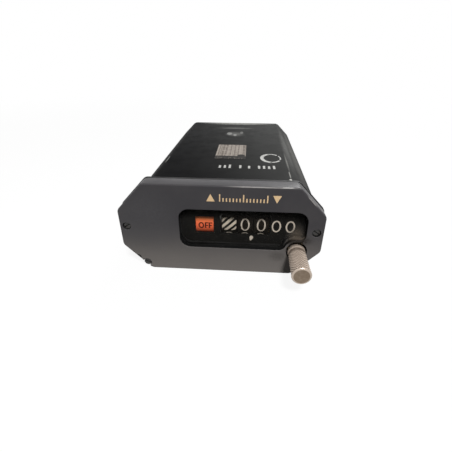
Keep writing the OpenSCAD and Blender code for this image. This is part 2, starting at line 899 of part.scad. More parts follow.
module flag_shaft() {
    color([0.74, 0.74, 0.75])
        bar_across(coil_left + 1, left_plate_x + 0.8, flag_depth, flag_z, flag_shaft_r);
}

// Flat spiral spring beside the flag, held at its outer end by a peg
module flag_spring() {
    turns = 3;
    inner = 1.2;
    growth = 0.8;
    strip = 0.12;
    steps = 72;
    color([0.6, 0.58, 0.5]) {
        across(-12.8, -12.4, flag_depth, flag_z) polygon([
            for (i = [0:steps]) let (t = i / steps, a = 360 * turns * t, r = inner + growth * turns * t)
                r * [cos(a), sin(a)],
            for (i = [steps:-1:0]) let (t = i / steps, a = 360 * turns * t, r = inner + growth * turns * t)
                (r + strip) * [cos(a), sin(a)]
        ]);
        bar_across(bracket_x + plate_t, -12.4, flag_depth + inner + growth * turns, flag_z, 0.35);
    }
}

module flag_bracket() {
    color([0.7, 0.7, 0.67]) difference() {
        union() {
            across(bracket_x, bracket_x + plate_t)
                polygon([[front_plate_back, -16.5], [22, -8], [22, 9], [front_plate_back, 16.5]]);
            for (z = [[13.2, 16.4], [-16.4, -13.2]])
                block(bracket_x - 3, bracket_x + 0.01, front_plate_back, front_plate_back + tab_t,
                    z[0], z[1]);
        }
        bar_across(bracket_x - 1, bracket_x + 2, flag_depth, flag_z, flag_shaft_r + running);
        for (place = tab_screws)
            bar_deep(place[0], place[1], front_plate_back - 1, front_plate_back + 2, tab_screw_r);
    }
}

module flag_coil() {
    color([0.55, 0.2, 0.14]) difference() {
        union() {
            bar_across(coil_left, bracket_x, flag_depth, flag_z, coil_r - 0.8);
            bar_across(coil_left, coil_left + 1, flag_depth, flag_z, coil_r);
            bar_across(bracket_x - 1, bracket_x, flag_depth, flag_z, coil_r);
        }
        bar_across(coil_left - 1, bracket_x + 1, flag_depth, flag_z, flag_shaft_r + running);
    }
}

module synchro_housing() {
    color([0.5, 0.5, 0.5]) difference() {
        union() {
            bar_across(synchro_left, synchro_front, synchro_depth, knob_z, synchro_r);
            bar_across(synchro_front, synchro_front + synchro_pilot_t, synchro_depth, knob_z,
                synchro_pilot_r);
        }
        bar_across(synchro_left + 2, synchro_front + 3, synchro_depth, knob_z, shaft_r + running);
        across(15.4, 16.4, synchro_depth, knob_z) difference() {
            circle(synchro_r + 1);
            circle(synchro_r - 0.7);
        }
    }
}

module synchro_shaft() {
    color([0.75, 0.75, 0.76])
        bar_across(synchro_left + 2.5, right_plate_x + plate_t + 0.5, synchro_depth, knob_z, shaft_r);
}

module synchro_gear() {
    color([0.72, 0.58, 0.3]) across(gear_x, gear_x + gear_w, synchro_depth, knob_z)
        spur_gear_outline(synchro_gear_phase, shaft_r);
}

module synchro_mount() {
    color([0.68, 0.68, 0.65]) difference() {
        block(synchro_front, synchro_front + synchro_pilot_t, synchro_depth - 10,
            synchro_depth + 10, tray_top, knob_z + 11);
        bar_across(synchro_front - 1, synchro_front + 3, synchro_depth, knob_z, synchro_pilot_r);
    }
}

// Circuit board with the four holes for its pillars
module board(z) {
    difference() {
        block(-board_w / 2, board_w / 2, board_front, board_back, z, z + board_t);
        for (x = [-pillar_x, pillar_x], depth = [board_front + pillar_inset, board_back - pillar_inset])
            bar_up(x, depth, z - 1, z + board_t + 1, stud_r);
    }
}

module lower_board() {
    color([0.13, 0.32, 0.16]) board(lower_board_z);
}

module upper_board() {
    color([0.13, 0.32, 0.16]) board(upper_board_z);
}

module board_pillars() {
    top = upper_board_z + board_t;
    color([0.7, 0.62, 0.4])
        for (x = [-pillar_x, pillar_x], depth = [board_front + pillar_inset, board_back - pillar_inset]) {
            bar_up(x, depth, tray_top, lower_board_z, pillar_r);
            bar_up(x, depth, lower_board_z - 0.01, lower_board_z + board_t + 0.01, stud_r);
            bar_up(x, depth, lower_board_z + board_t, upper_board_z, pillar_r);
            bar_up(x, depth, upper_board_z - 0.01, top + 0.01, stud_r);
            bar_up(x, depth, top, top + 2, pillar_r);
        }
}

module capacitors() {
    top = upper_board_z + board_t;
    color([0.2, 0.3, 0.5]) {
        for (place = large_capacitors) bar_up(place[0], place[1], top, top + 11, 4);
        for (place = small_capacitors) bar_up(place[0], place[1], top, top + 6, 3.2);
    }
}

// Stack of laminations with the winding standing out at both ends
module transformer() {
    base = lower_board_z + board_t;
    color([0.24, 0.24, 0.26]) {
        block(1, 17, 70, 90, base, base + 12);
        block(3.5, 14.5, 66, 94, base + 2.5, base + 9.5);
    }
}

module relay() {
    base = lower_board_z + board_t;
    color([0.6, 0.6, 0.6]) block(-19, -6, 72, 86, base, base + 11.5);
}

module connector_shell() {
    outer = connector_flange / 2;
    mouth = case_back + barrel_reach;
    color([0.45, 0.46, 0.4]) difference() {
        union() {
            deep(case_back, case_back + connector_flange_t, 0, case_z)
                rounded_rect(-outer, outer, -outer, outer, 2);
            bar_deep(0, case_z, case_back + connector_flange_t - 0.01, mouth, barrel_r);
            bar_deep(0, case_z, insert_back, case_back + 0.01, barrel_back_r);
            for (x = [-1, 1], z = [-1, 1]) {
                bar_deep(x * connector_screw_spacing / 2, case_z + z * connector_screw_spacing / 2,
                    case_back, case_back + connector_flange_t + 1, 1.9);
                bar_deep(x * connector_screw_spacing / 2, case_z + z * connector_screw_spacing / 2,
                    spigot_front, case_back + 0.01, connector_screw_r);
            }
        }
        bar_deep(0, case_z, insert_back - 1, mouth + 1, barrel_r - barrel_wall);
    }
}

module connector_insert() {
    color([0.15, 0.15, 0.16]) difference() {
        bar_deep(0, case_z, insert_back, insert_face, barrel_r - barrel_wall);
        for (place = contacts)
            bar_deep(place[0], case_z + place[1], insert_back - 1, insert_face + 1, contact_r);
    }
}

module connector_pins() {
    color([0.8, 0.66, 0.3]) for (place = contacts)
        bar_deep(place[0], case_z + place[1], insert_back - 2, insert_face + contact_reach, contact_r);
}

// Bundle of wires from the end of the synchro to the back plate
module wire_harness() {
    bundle_r = 1.5;
    side_x = -30;
    color([0.75, 0.72, 0.66]) {
        bar_across(side_x, synchro_left, synchro_depth, knob_z, bundle_r);
        at(side_x, synchro_depth, knob_z) sphere(bundle_r);
        bar_deep(side_x, knob_z, synchro_depth, spigot_front, bundle_r);
    }
}

bezel();
mounting_flange();
window_glass();
window_spacer();
dial_mask();
window_retainer();
bezel_screws();
clamp_screw();
clamp_nut();
panel_lamps();
front_plate();
case_sleeve();
rear_cover();
rear_cover_screws();
tie_rods();
chassis_tray();
counter_plate_left();
counter_plate_right();
counter_pillars();
plate_screws();
drum_shaft();
shaft_clips();
drum_ten_thousands();
drum_thousands();
drum_hundreds();
hundreds_gear();
transfer_plate_left();
transfer_plate_right();
transfer_pinion_left();
transfer_pinion_right();
cross_shaft();
cross_gear();
cross_bevel_gear();
detent_wheel();
detent_spring();
knob();
knob_pin();
knob_shaft();
knob_bush();
knob_collar();
knob_bevel_gear();
off_flag();
flag_shaft();
flag_spring();
flag_bracket();
flag_coil();
synchro_housing();
synchro_shaft();
synchro_gear();
synchro_mount();
lower_board();
upper_board();
board_pillars();
capacitors();
transformer();
relay();
connector_shell();
connector_insert();
connector_pins();
wire_harness();
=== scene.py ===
"""Looks of a panel altitude alerter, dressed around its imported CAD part.

Three number drums and a warning flag stand behind a window in an octagonal bezel. A knurled
knob below the window sets them, and a long black case holds the works. Sizes are in
millimetres: x to the right and z up from the middle of the bezel, and depth from the bezel's
front face into the case. in_frame turns them into metres in the CAD part's frame.
"""

import json
import logging
import math
from dataclasses import dataclass, field
from enum import Enum
from functools import cache
from typing import Callable, Sequence, Union

import bmesh
import bpy
import numpy as np
from mathutils import Matrix, Vector
from mathutils.geometry import tessellate_polygon


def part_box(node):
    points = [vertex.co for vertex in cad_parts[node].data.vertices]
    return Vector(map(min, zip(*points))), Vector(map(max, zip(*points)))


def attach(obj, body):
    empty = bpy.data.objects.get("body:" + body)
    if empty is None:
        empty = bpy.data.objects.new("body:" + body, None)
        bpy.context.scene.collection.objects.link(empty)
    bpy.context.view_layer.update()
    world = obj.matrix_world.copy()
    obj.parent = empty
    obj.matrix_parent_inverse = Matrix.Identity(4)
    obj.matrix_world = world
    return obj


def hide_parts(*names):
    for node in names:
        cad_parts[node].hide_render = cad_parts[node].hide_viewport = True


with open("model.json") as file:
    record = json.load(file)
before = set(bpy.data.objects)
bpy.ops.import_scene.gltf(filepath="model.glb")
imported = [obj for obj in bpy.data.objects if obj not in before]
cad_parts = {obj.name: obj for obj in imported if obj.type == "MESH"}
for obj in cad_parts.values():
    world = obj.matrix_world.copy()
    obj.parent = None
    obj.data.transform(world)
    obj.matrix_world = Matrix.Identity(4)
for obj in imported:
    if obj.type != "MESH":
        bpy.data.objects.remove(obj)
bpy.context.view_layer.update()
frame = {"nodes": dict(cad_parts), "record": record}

log = logging.getLogger("alerter")

MM = 0.001
BEZEL_LOW, BEZEL_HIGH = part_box("bezel")
FACE_Y = BEZEL_LOW.y / MM
MID_Z = (BEZEL_LOW.z + BEZEL_HIGH.z) / 2 / MM

Colour = tuple[float, float, float]
Pair = tuple[float, float]
Vec = tuple[float, float, float]

# Distances in metres: points closer than the first are one, shorter edges are dropped.
WELD_M, SLIVER_M = 2e-7, 1e-8
# A Mix node's sockets for its two colours and its mixed colour.
MIX_FIRST, MIX_SECOND, MIX_RESULT = 6, 7, 2
# The sides in x and z of four things round a middle.
CORNERS = ((-1, -1), (-1, 1), (1, -1), (1, 1))


def math_method(operation: str, swapped: bool = False) -> Callable[["Value", "Term"], "Value"]:
    """Makes a method of Value that takes one other term.

    Args:
        operation: The Math node's operation.
        swapped: Whether the other term comes first.

    Returns:
        The method, which adds the node and returns its result.
    """

    def method(self: "Value", other: "Term") -> "Value":
        """Adds the Math node."""
        return self.graph.math(operation, *((other, self) if swapped else (self, other)))

    return method


class Value:
    """A number, vector or colour on its way through a material, with the usual operators."""

    __add__, __radd__ = math_method("ADD"), math_method("ADD", swapped=True)
    __sub__, __rsub__ = math_method("SUBTRACT"), math_method("SUBTRACT", swapped=True)
    __mul__, __rmul__ = math_method("MULTIPLY"), math_method("MULTIPLY", swapped=True)
    __truediv__, __pow__ = math_method("DIVIDE"), math_method("POWER")
    min, max = math_method("MINIMUM"), math_method("MAXIMUM")

    def __init__(self, graph: "Graph", socket: bpy.types.NodeSocket) -> None:
        """Keeps the graph that the socket belongs to, and the socket."""
        self.graph = graph
        self.socket = socket

    def abs(self) -> "Value":
        """The value without its sign."""
        return self.graph.math("ABSOLUTE", self)

    def sawtooth(self, period: float) -> "Value":
        """How far the value is past the last whole period, from 0 to 1."""
        return self.graph.math("FRACT", self / period)

    def ramp(self, low: float, high: float) -> "Value":
        """A smooth step.

        Args:
            low: The value at which the step begins.
            high: The value at which it ends; below low it falls instead.

        Returns:
            0 before the step and 1 after it.
        """
        falling = high < low
        return self.graph.value(
            "Result", "ShaderNodeMapRange", {"interpolation_type": "SMOOTHSTEP"},
            {"Value": self, "From Min": min(low, high), "From Max": max(low, high),
             "To Min": float(falling), "To Max": float(not falling)},
        )


Term = Union[float, Value]
Shade = Union[Colour, Value]


class Graph:
    """The nodes of one material or of the world, added by expressions."""

    def __init__(self, tree: bpy.types.NodeTree) -> None:
        """Empties the tree that the nodes go into."""
        self.tree = tree
        self.tree.nodes.clear()

    def node(self, kind: str, settings: dict | None = None,
             sockets: dict | None = None) -> bpy.types.Node:
        """Adds one node.

        Args:
            kind: The node's type.
            settings: Its properties, which are set first.
            sockets: Its inputs by name or number, each a Value or a plain value.

        Returns:
            The node.
        """
        made = self.tree.nodes.new(kind)
        for key, value in (settings or {}).items():
            setattr(made, key, value)
        for key, value in (sockets or {}).items():
            if isinstance(value, Value):
                self.tree.links.new(value.socket, made.inputs[key])
            elif made.inputs[key].type == "RGBA":
                made.inputs[key].default_value = (*value, 1.0)
            else:
                made.inputs[key].default_value = value
        return made

    def value(self, output: Union[int, str], kind: str, settings: dict | None = None,
              sockets: dict | None = None) -> Value:
        """One output of a new node; the rest is as for node."""
        return Value(self, self.node(kind, settings, sockets).outputs[output])

    def math(self, operation: str, *terms: Term) -> Value:
        """One Math node of the operation on the terms."""
        return self.value(0, "ShaderNodeMath", {"operation": operation}, dict(enumerate(terms)))

    def vector(self, operation: str, *terms: Union[Value, Vec],
               output: Union[int, str] = 0) -> Value:
        """One Vector Math node of the operation on the terms."""
        settings = {"operation": operation}
        return self.value(output, "ShaderNodeVectorMath", settings, dict(enumerate(terms)))

    def dot(self, vector: Value, axis: Vec) -> Value:
        """How far a vector reaches along an axis."""
        return self.vector("DOT_PRODUCT", vector, axis, output="Value")

    def distance(self, where: Value, at: Vec, size: Vec = (1.0, 1.0, 1.0)) -> Value:
        """Distance of a point from a place, measured in a size for each direction."""
        apart = self.vector("DIVIDE", self.vector("SUBTRACT", where, at), size)
        return self.vector("LENGTH", apart, output="Value")

    def mix(self, factor: Term, first: Shade, second: Shade) -> Value:
        """A colour between two, by a Mix node: 0 is the first and 1 the second."""
        sockets = {0: factor, MIX_FIRST: first, MIX_SECOND: second}
        return self.value(MIX_RESULT, "ShaderNodeMix", {"data_type": "RGBA"}, sockets)

    def place(self) -> Value:
        """Where on the object a point of the piece is.

        Returns:
            The point in millimetres, from the middle of the bezel's front face.
        """
        return self.value(0, "ShaderNodeMapping", None, {
            "Vector": self.value("Object", "ShaderNodeTexCoord"),
            "Location": (0.0, -FACE_Y, -MID_Z), "Scale": (1 / MM,) * 3,
        })

    def split(self, vector: Value) -> list[Value]:
        """The three parts of a vector."""
        parts = self.node("ShaderNodeSeparateXYZ", None, {0: vector}).outputs
        return [Value(self, part) for part in parts]

    def noise(self, where: Value, size: Union[float, Vec], detail: float = 3.0,
              rough: float = 0.5) -> Value:
        """Soft random blotches.

        Args:
            where: The point in millimetres.
            size: Width of a blotch in millimetres, or one width for each direction.
            detail: How many finer layers are added.
            rough: Strength of each finer layer.

        Returns:
            A number about 0.5.
        """
        sizes = size if isinstance(size, tuple) else (size,) * 3
        scaled = self.vector("MULTIPLY", where, tuple(1 / s for s in sizes))
        return self.value(0, "ShaderNodeTexNoise", None, {
            "Vector": scaled, "Scale": 1.0, "Detail": detail, "Roughness": rough,
        })

    def cells(self, where: Value, size: float) -> Value:
        """Distance from the nearest of many scattered points, in their spacing."""
        sockets = {"Vector": where, "Scale": 1 / size}
        return self.value("Distance", "ShaderNodeTexVoronoi", None, sockets)

    def attribute(self, name: str) -> Value:
        """A number that the mesh carries on its points."""
        return self.value("Fac", "ShaderNodeAttribute", {"attribute_name": name})

    def bump(self, height: Value, depth_mm: float) -> Value:
        """A normal that leans with a height, of which 1 stands for the depth."""
        sockets = {"Height": height, "Distance": depth_mm * MM, "Strength": 1.0}
        return self.value(0, "ShaderNodeBump", None, sockets)

    def seen(self) -> Value:
        """Tells what is looked at from light on its way.

        Returns:
            1 for what the camera, a mirror or glass looks at, and 0 for the rest.
        """
        paths = self.node("ShaderNodeLightPath").outputs
        kinds = ("Is Camera Ray", "Is Glossy Ray", "Is Transmission Ray")
        camera, glossy, through = (Value(self, paths[kind]) for kind in kinds)
        return camera.max(glossy).max(through)

    def principled(self, **sockets: Union[Shade, Term]) -> bpy.types.Node:
        """A Principled shader; its inputs' names have underscores for their spaces."""
        named = {key.replace("_", " "): value for key, value in sockets.items()}
        return self.node("ShaderNodeBsdfPrincipled", None, named)

    def blend(self, share: Term, first: bpy.types.Node, second: bpy.types.Node) -> bpy.types.Node:
        """A Mix Shader between two shaders, by the share of the second."""
        ends = {1: Value(self, first.outputs[0]), 2: Value(self, second.outputs[0])}
        return self.node("ShaderNodeMixShader", None, {0: share, **ends})

    def coat(self, **sockets: Union[Shade, Term]) -> None:
        """Ends the material in one Principled shader with the inputs."""
        self.end(self.principled(**sockets))

    def end(self, shader: bpy.types.Node, output: str = "ShaderNodeOutputMaterial") -> None:
        """Joins a shader to the output node."""
        self.node(output, None, {"Surface": Value(self, shader.outputs[0])})


@dataclass(frozen=True)
class Finish:
    """A surface treatment. Each kind says in build() how its material is made."""

    name: str

    def build(self, graph: Graph) -> None:
        """Makes the material in an empty graph."""
        raise NotImplementedError

    @cache
    def material(self) -> bpy.types.Material:
        """Makes the material, once for each finish.

        Returns:
            The material.
        """
        material = bpy.data.materials.new(self.name)
        material.use_nodes = True
        self.build(Graph(material.node_tree))
        return material


class MarkKind(Enum):
    """How a mark on paint ends: a chip has a ragged edge, a soft patch fades out, and a rub shows
    only on the rounded edges inside it."""

    CHIP = "chip"
    SOFT_PATCH = "soft_patch"
    RUB = "rub"


CHIP, SOFT_PATCH, RUB = MarkKind


@dataclass(frozen=True)
class Mark:
    """One spot on paint, its middle and half its sizes in millimetres. Some are wear and soil, and
    some are painted light and shade.
    """

    kind: MarkKind
    at: Vec
    size: Vec
    colour: Colour
    strength: float = 1.0

    def cover(self, graph: Graph, where: Value, patchy: Value) -> Value:
        """How much of the paint the mark covers.

        Args:
            graph: The material's graph.
            where: The point in millimetres.
            patchy: Fine blotches that break the mark up.

        Returns:
            The mark's strength in its middle and 0 outside it.
        """
        near = graph.distance(where, self.at, self.size).ramp(1.0, 0.2)
        if self.kind is CHIP:
            return (near * (0.35 + patchy)).ramp(0.4, 0.62) * self.strength
        if self.kind is RUB:
            edges = (graph.attribute("edge") * (0.5 + patchy)).ramp(0.3, 0.8)
            return near.min(0.7) * edges * self.strength
        return near * (0.45 + 0.55 * patchy.ramp(0.3, 0.7)) * self.strength


@dataclass(frozen=True)
class SatinPaint(Finish):
    """Baked paint with a fine orange peel, rubbed thin along marked edges and in marked spots; some
    marked spots are painted light and shade. Its colour shifts to a lighter one from one place to
    another across the piece, a painted light gradient, and it is near black inside openings: black
    paint on the bezel window's wall, painted shade in the screw wells and the knob hole."""

    colour: Colour
    dusty_and_lit: Colour
    bare: Colour
    roughness: float = 0.4
    shine: float = 0.1
    peel_mm: float = 0.35
    peel_depth_mm: float = 0.004
    cloud_mm: float = 16.0
    smear_mm: Vec = (7.0, 9.0, 7.0)
    patch_mm: float = 1.1
    speck_mm: float = 1.9
    speck_group_mm: float = 6.0
    thinning_mm: float = 3.5
    wear: float = 0.5
    dust: float = 0.25
    # Painted light gradient: along this axis, between these two places, the colour turns to the
    # lighter one, as if more light fell at that end.
    painted_light_axis: Vec = (0.0, 0.0, 1.0)
    painted_light_from: float = 30.0
    painted_light_to: float = -30.0
    marks: tuple[Mark, ...] = ()
    # Colour inside openings: black paint on the bezel window's wall, painted shade in the screw
    # wells and the knob hole.
    inner: Colour = (0.0025, 0.0025, 0.0025)

    def build(self, graph: Graph) -> None:
        """Paint over metal: colour, gloss and relief follow the same wear.

        Args:
            graph: The material's empty graph.
        """
        where = graph.place()
        inner = graph.attribute("inner")
        clouds = graph.noise(where, self.cloud_mm, 3.0, 0.55)
        smears = graph.noise(where, self.smear_mm, 5.0, 0.6)
        patchy = graph.noise(where, self.patch_mm, 4.0, 0.7)
        specks = graph.cells(where, self.speck_mm).ramp(0.09, 0.03)
        specks = specks * graph.noise(where, self.speck_group_mm).ramp(0.5, 0.62)
        chance = graph.noise(where, self.thinning_mm, 4.0, 0.65) + self.wear * 0.3 - 0.15
        bare = (graph.attribute("edge") * chance).ramp(0.5, 0.6)
        # Painted light: lighter towards one end along the axis, broken up by the clouds.
        place = graph.dot(where, self.painted_light_axis) + 5 * (clouds - 0.5)
        colour = graph.mix(place.ramp(self.painted_light_from, self.painted_light_to), self.colour, self.dusty_and_lit)
        colour = graph.mix(clouds.ramp(0.4, 0.75) * self.dust, colour, self.dusty_and_lit)
        colour = graph.mix(specks * self.dust, colour, self.bare)
        # Near black where the mesh marks the inside of an opening: black paint in the window,
        # painted shade in the screw wells and the knob hole.
        colour = graph.mix(inner, colour, self.inner)
        # Marks of wear and soil, and some of painted light and shade.
        for mark in self.marks:
            colour = graph.mix(mark.cover(graph, where, patchy), colour, mark.colour)
        colour = graph.mix(bare, colour, self.bare)
        gloss = self.roughness + 0.09 * smears.ramp(0.4, 0.7) - 0.08 * bare + 0.4 * inner
        peel = graph.noise(where, self.peel_mm, 2.0, 0.5)
        graph.coat(
            Base_Color=colour, Roughness=gloss, Metallic=0.55 * bare, Specular_IOR_Level=self.shine,
            Normal=graph.bump(peel * (1 - bare), self.peel_depth_mm),
        )


@dataclass(frozen=True)
class Metal(Finish):
    """Bare or plated metal with fine working marks along one direction and light staining."""

    colour: Colour
    stain: Colour
    roughness: float = 0.32
    marks_mm: Vec = (0.25, 4.0, 0.25)
    marks_depth_mm: float = 0.002
    stain_mm: float = 5.0
    staining: float = 0.4
    metallic: float = 1.0

    def build(self, graph: Graph) -> None:
        """Metal whose marks and stains change its colour, gloss and relief.

        Args:
            graph: The material's empty graph.
        """
        where = graph.place()
        marks = graph.noise(where, self.marks_mm, 3.0, 0.6)
        stains = graph.noise(where, self.stain_mm, 5.0, 0.65).ramp(0.45, 0.75) * self.staining
        colour = graph.mix(stains, self.colour, self.stain)
        gloss = self.roughness + 0.12 * marks + 0.2 * stains - 0.06
        graph.coat(
            Base_Color=colour, Metallic=self.metallic - 0.4 * stains, Roughness=gloss,
            Normal=graph.bump(marks, self.marks_depth_mm),
        )


@dataclass(frozen=True)
class Moulded(Finish):
    """Plastic, rubber, enamel or sleeving: an even colour with soft blotches and a fine grain."""

    colour: Colour
    second: Colour
    roughness: float = 0.45
    blotch_mm: float = 6.0
    grain_mm: float = 0.3
    grain_depth_mm: float = 0.004
    shine: float = 0.5

    def build(self, graph: Graph) -> None:
        """Dielectric with blotches in its colour and gloss and grain in its relief.

        Args:
            graph: The material's empty graph.
        """
        where = graph.place()
        blotches = graph.noise(where, self.blotch_mm, 4.0, 0.6)
        grain = graph.noise(where, self.grain_mm, 2.0, 0.5)
        graph.coat(
            Base_Color=graph.mix(blotches.ramp(0.35, 0.7), self.colour, self.second),
            Roughness=self.roughness + 0.15 * (blotches - 0.5), Specular_IOR_Level=self.shine,
            Normal=graph.bump(grain, self.grain_depth_mm),
        )


@dataclass(frozen=True)
class Banded(Finish):
    """Rows of wire, laminations or coils: round ridges at one pitch along one direction."""

    colour: Colour
    between: Colour
    along: int = 0
    pitch_mm: float = 0.3
    metallic: float = 0.6
    roughness: float = 0.4
    tone_mm: float = 2.5
    relief: float = 0.35

    def build(self, graph: Graph) -> None:
        """Ridges from a rounded sawtooth of the place along the axis.

        Args:
            graph: The material's empty graph.
        """
        where = graph.place()
        saw = graph.split(where)[self.along].sawtooth(self.pitch_mm)
        ridge = 1 - (2 * saw - 1).abs() ** 2.0
        tone = graph.noise(where, self.tone_mm, 3.0, 0.6)
        colour = graph.mix(ridge.ramp(0.1, 0.6) * (0.6 + 0.5 * tone), self.between, self.colour)
        graph.coat(
            Base_Color=colour, Metallic=self.metallic, Roughness=self.roughness,
            Normal=graph.bump(ridge, self.pitch_mm * self.relief),
        )


@dataclass(frozen=True)
class CircuitBoard(Finish):
    """Lacquered glass-fibre board with copper tracks under the lacquer."""

    lacquer: Colour = (0.02, 0.09, 0.03)
    track: Colour = (0.07, 0.2, 0.05)
    pitch_mm: float = 2.54
    copper_mm: float = 0.035
    run_mm: Vec = (2.5, 14.0, 50.0)
    haze_mm: float = 8.0

    def build(self, graph: Graph) -> None:
        """Tracks along the depth at one pitch and across it at twice that, as blotches choose.

        Args:
            graph: The material's empty graph.
        """
        where = graph.place()
        x, depth, _ = graph.split(where)
        runs = graph.noise(where, self.run_mm, 1.0, 0.4).ramp(0.49, 0.51)
        lines = (x.sawtooth(self.pitch_mm) - 0.5).abs().ramp(0.2, 0.14) * runs
        crosses = (depth.sawtooth(self.pitch_mm * 2) - 0.5).abs().ramp(0.1, 0.06) * (1 - runs)
        tracks = lines.max(crosses)
        graph.coat(
            Base_Color=graph.mix(tracks, self.lacquer, self.track),
            Roughness=0.3 + 0.15 * graph.noise(where, self.haze_mm), Metallic=0.25 * tracks,
            Normal=graph.bump(tracks, self.copper_mm),
        )


@dataclass(frozen=True)
class ClearGlass(Finish):
    """Flat window glass: straight see-through under a thin film, and a mirror at low angles."""

    tint: Colour = (1.0, 1.0, 0.99)
    roughness: float = 0.04
    dust: Colour = (0.065, 0.062, 0.06)
    # Brown patch above the knob: grease, and a painted reflection of the knob in the glass.
    grease_and_reflection: Colour = (0.165, 0.135, 0.105)
    grease_and_reflection_at: Vec = (32.3, 2.0, -3.6)
    grease_and_reflection_size: Vec = (5.4, 5.0, 8.8)
    film_mm: float = 7.0
    dust_share: float = 0.038
    film_share: float = 0.01
    grease_and_reflection_share: float = 0.32
    mirror_share: float = 0.35

    def build(self, graph: Graph) -> None:
        """Transparent but for a film of dust, and a brown patch above the knob that is grease from
        fingers and a painted reflection of the knob. At low angles the film gives way to a mirror.

        Args:
            graph: The material's empty graph.
        """
        where = graph.place()
        film = graph.noise(where, self.film_mm, 5.0, 0.65).ramp(0.4, 0.75)
        grease_and_reflection_mask = graph.distance(where, self.grease_and_reflection_at, self.grease_and_reflection_size).ramp(1.0, 0.15)
        see_through = graph.node("ShaderNodeBsdfTransparent", None, {"Color": self.tint})
        low = graph.value("Facing", "ShaderNodeLayerWeight", None, {"Blend": 0.3})
        coating = graph.principled(
            Base_Color=graph.mix(grease_and_reflection_mask, self.dust, self.grease_and_reflection), Metallic=low.ramp(0.25, 0.6),
            Roughness=self.roughness + 0.4 * grease_and_reflection_mask, Specular_IOR_Level=0.0,
        )
        share = self.dust_share + self.mirror_share * low ** 4.0 + self.film_share * film
        graph.end(graph.blend(share + self.grease_and_reflection_share * grease_and_reflection_mask, see_through, coating))


@dataclass(frozen=True)
class DialInk(Finish):
    """Printed ink on a dial or drum: matt, slightly uneven, thin at its edges."""

    colour: Colour
    thin: Colour
    roughness: float = 0.6
    mottle_mm: float = 0.5

    def build(self, graph: Graph) -> None:
        """Ink with fine mottling.

        Args:
            graph: The material's empty graph.
        """
        mottle = graph.noise(graph.place(), self.mottle_mm, 4.0, 0.6)
        graph.coat(
            Base_Color=graph.mix(mottle.ramp(0.45, 0.75), self.colour, self.thin),
            Roughness=self.roughness, Specular_IOR_Level=0.1, Normal=graph.bump(mottle, 0.01),
        )


@dataclass(frozen=True)
class HatchedInk(Finish):
    """Pale slanted stripes with black between them, on a patch with its own UV map."""

    stripe: Colour
    gap: Colour
    pitch_mm: float = 2.27
    stripe_share: float = 0.52
    offset_mm: float = 0.02
    blur: float = 0.02
    mottle_mm: float = 0.6

    def build(self, graph: Graph) -> None:
        """Stripes from the sawtooth of the distance across them.

        Args:
            graph: The material's empty graph.
        """
        across, up, _ = graph.split(graph.value(0, "ShaderNodeUVMap", {"uv_map": "UVMap"}))
        saw = ((across - up) * math.sqrt(0.5) + self.offset_mm).sawtooth(self.pitch_mm)
        half = self.stripe_share / 2
        inside = (saw - 0.5).abs().ramp(half + self.blur, half - self.blur)
        mottle = graph.noise(graph.place(), self.mottle_mm, 3.0, 0.6)
        graph.coat(
            Base_Color=graph.mix(inside * (0.8 + 0.3 * mottle), self.gap, self.stripe),
            Roughness=0.55, Specular_IOR_Level=0.05, Normal=graph.bump(inside, 0.02),
        )


@dataclass(frozen=True)
class FlagPaint(Finish):
    """Fluorescent warning paint, darker and browner towards its upper edge: painted shade under the
    mask above it.
    """

    lit_orange: Colour = (0.96, 0.165, 0.066)
    shaded_top: Colour = (0.66, 0.2, 0.068)
    blotch_mm: float = 1.6
    blotch_shift_mm: float = 2.4
    shade_from: float = -0.5
    shade_to: float = 4.6

    def build(self, graph: Graph) -> None:
        """The lit colour and the painted shade by height on the flag at rest, broken up by
        blotches.

        Args:
            graph: The material's empty graph.
        """
        where = graph.place()
        _, _, height = graph.split(where)
        blotch = graph.noise(where, self.blotch_mm, 4.0, 0.6)
        shade_height = height + self.blotch_shift_mm * (blotch - 0.5)
        graph.coat(
            Base_Color=graph.mix(shade_height.ramp(self.shade_from, self.shade_to), self.lit_orange, self.shaded_top),
            Roughness=0.5, Specular_IOR_Level=0.15, Normal=graph.bump(blotch, 0.02),
        )


@dataclass(frozen=True)
class GrippedMetal(Finish):
    """Plated knob metal: bright on the tips of the knurl, brown with old dirt in its valleys, and
    dark with painted shade on the neck inside the bezel's hole.
    """

    plating: Colour = (0.44, 0.363, 0.303)
    tip: Colour = (0.54, 0.452, 0.377)
    end: Colour = (0.2, 0.15, 0.105)
    dirt_and_shade: Colour = (0.055, 0.034, 0.02)
    blotch_mm: float = 1.3
    fine_mm: float = 0.25

    def build(self, graph: Graph) -> None:
        """The mesh's attributes "height", "grime" and "end" say where the tips of the knurl, the
        dirt and the painted shade on the neck, and the smooth end are; blotches break them up.

        Args:
            graph: The material's empty graph.
        """
        where = graph.place()
        height = graph.attribute("height")
        end = graph.attribute("end")
        blotch = graph.noise(where, self.blotch_mm, 5.0, 0.65)
        fine = graph.noise(where, self.fine_mm, 3.0, 0.6)
        valley = (1 - height).ramp(0.3, 0.95) * (0.45 + 0.3 * blotch)
        # Grime on the collar and knurl, and painted shade on the neck inside the bezel's hole.
        soiled = graph.attribute("grime") * (0.6 + 0.4 * blotch.ramp(0.25, 0.55))
        dirt_and_shade_mask = valley.max(soiled).min(1.0)
        colour = graph.mix(height.ramp(0.5, 0.95), self.plating, self.tip)
        colour = graph.mix(end.ramp(0.6, 0.9) * (0.7 + 0.5 * blotch), colour, self.end)
        colour = graph.mix(dirt_and_shade_mask, colour, self.dirt_and_shade)
        graph.coat(
            Base_Color=colour, Metallic=0.75 - 0.6 * dirt_and_shade_mask,
            Roughness=0.5 + 0.1 * fine + 0.2 * dirt_and_shade_mask - 0.26 * end.ramp(0.2, 0.5),
            Normal=graph.bump(fine, 0.004),
        )


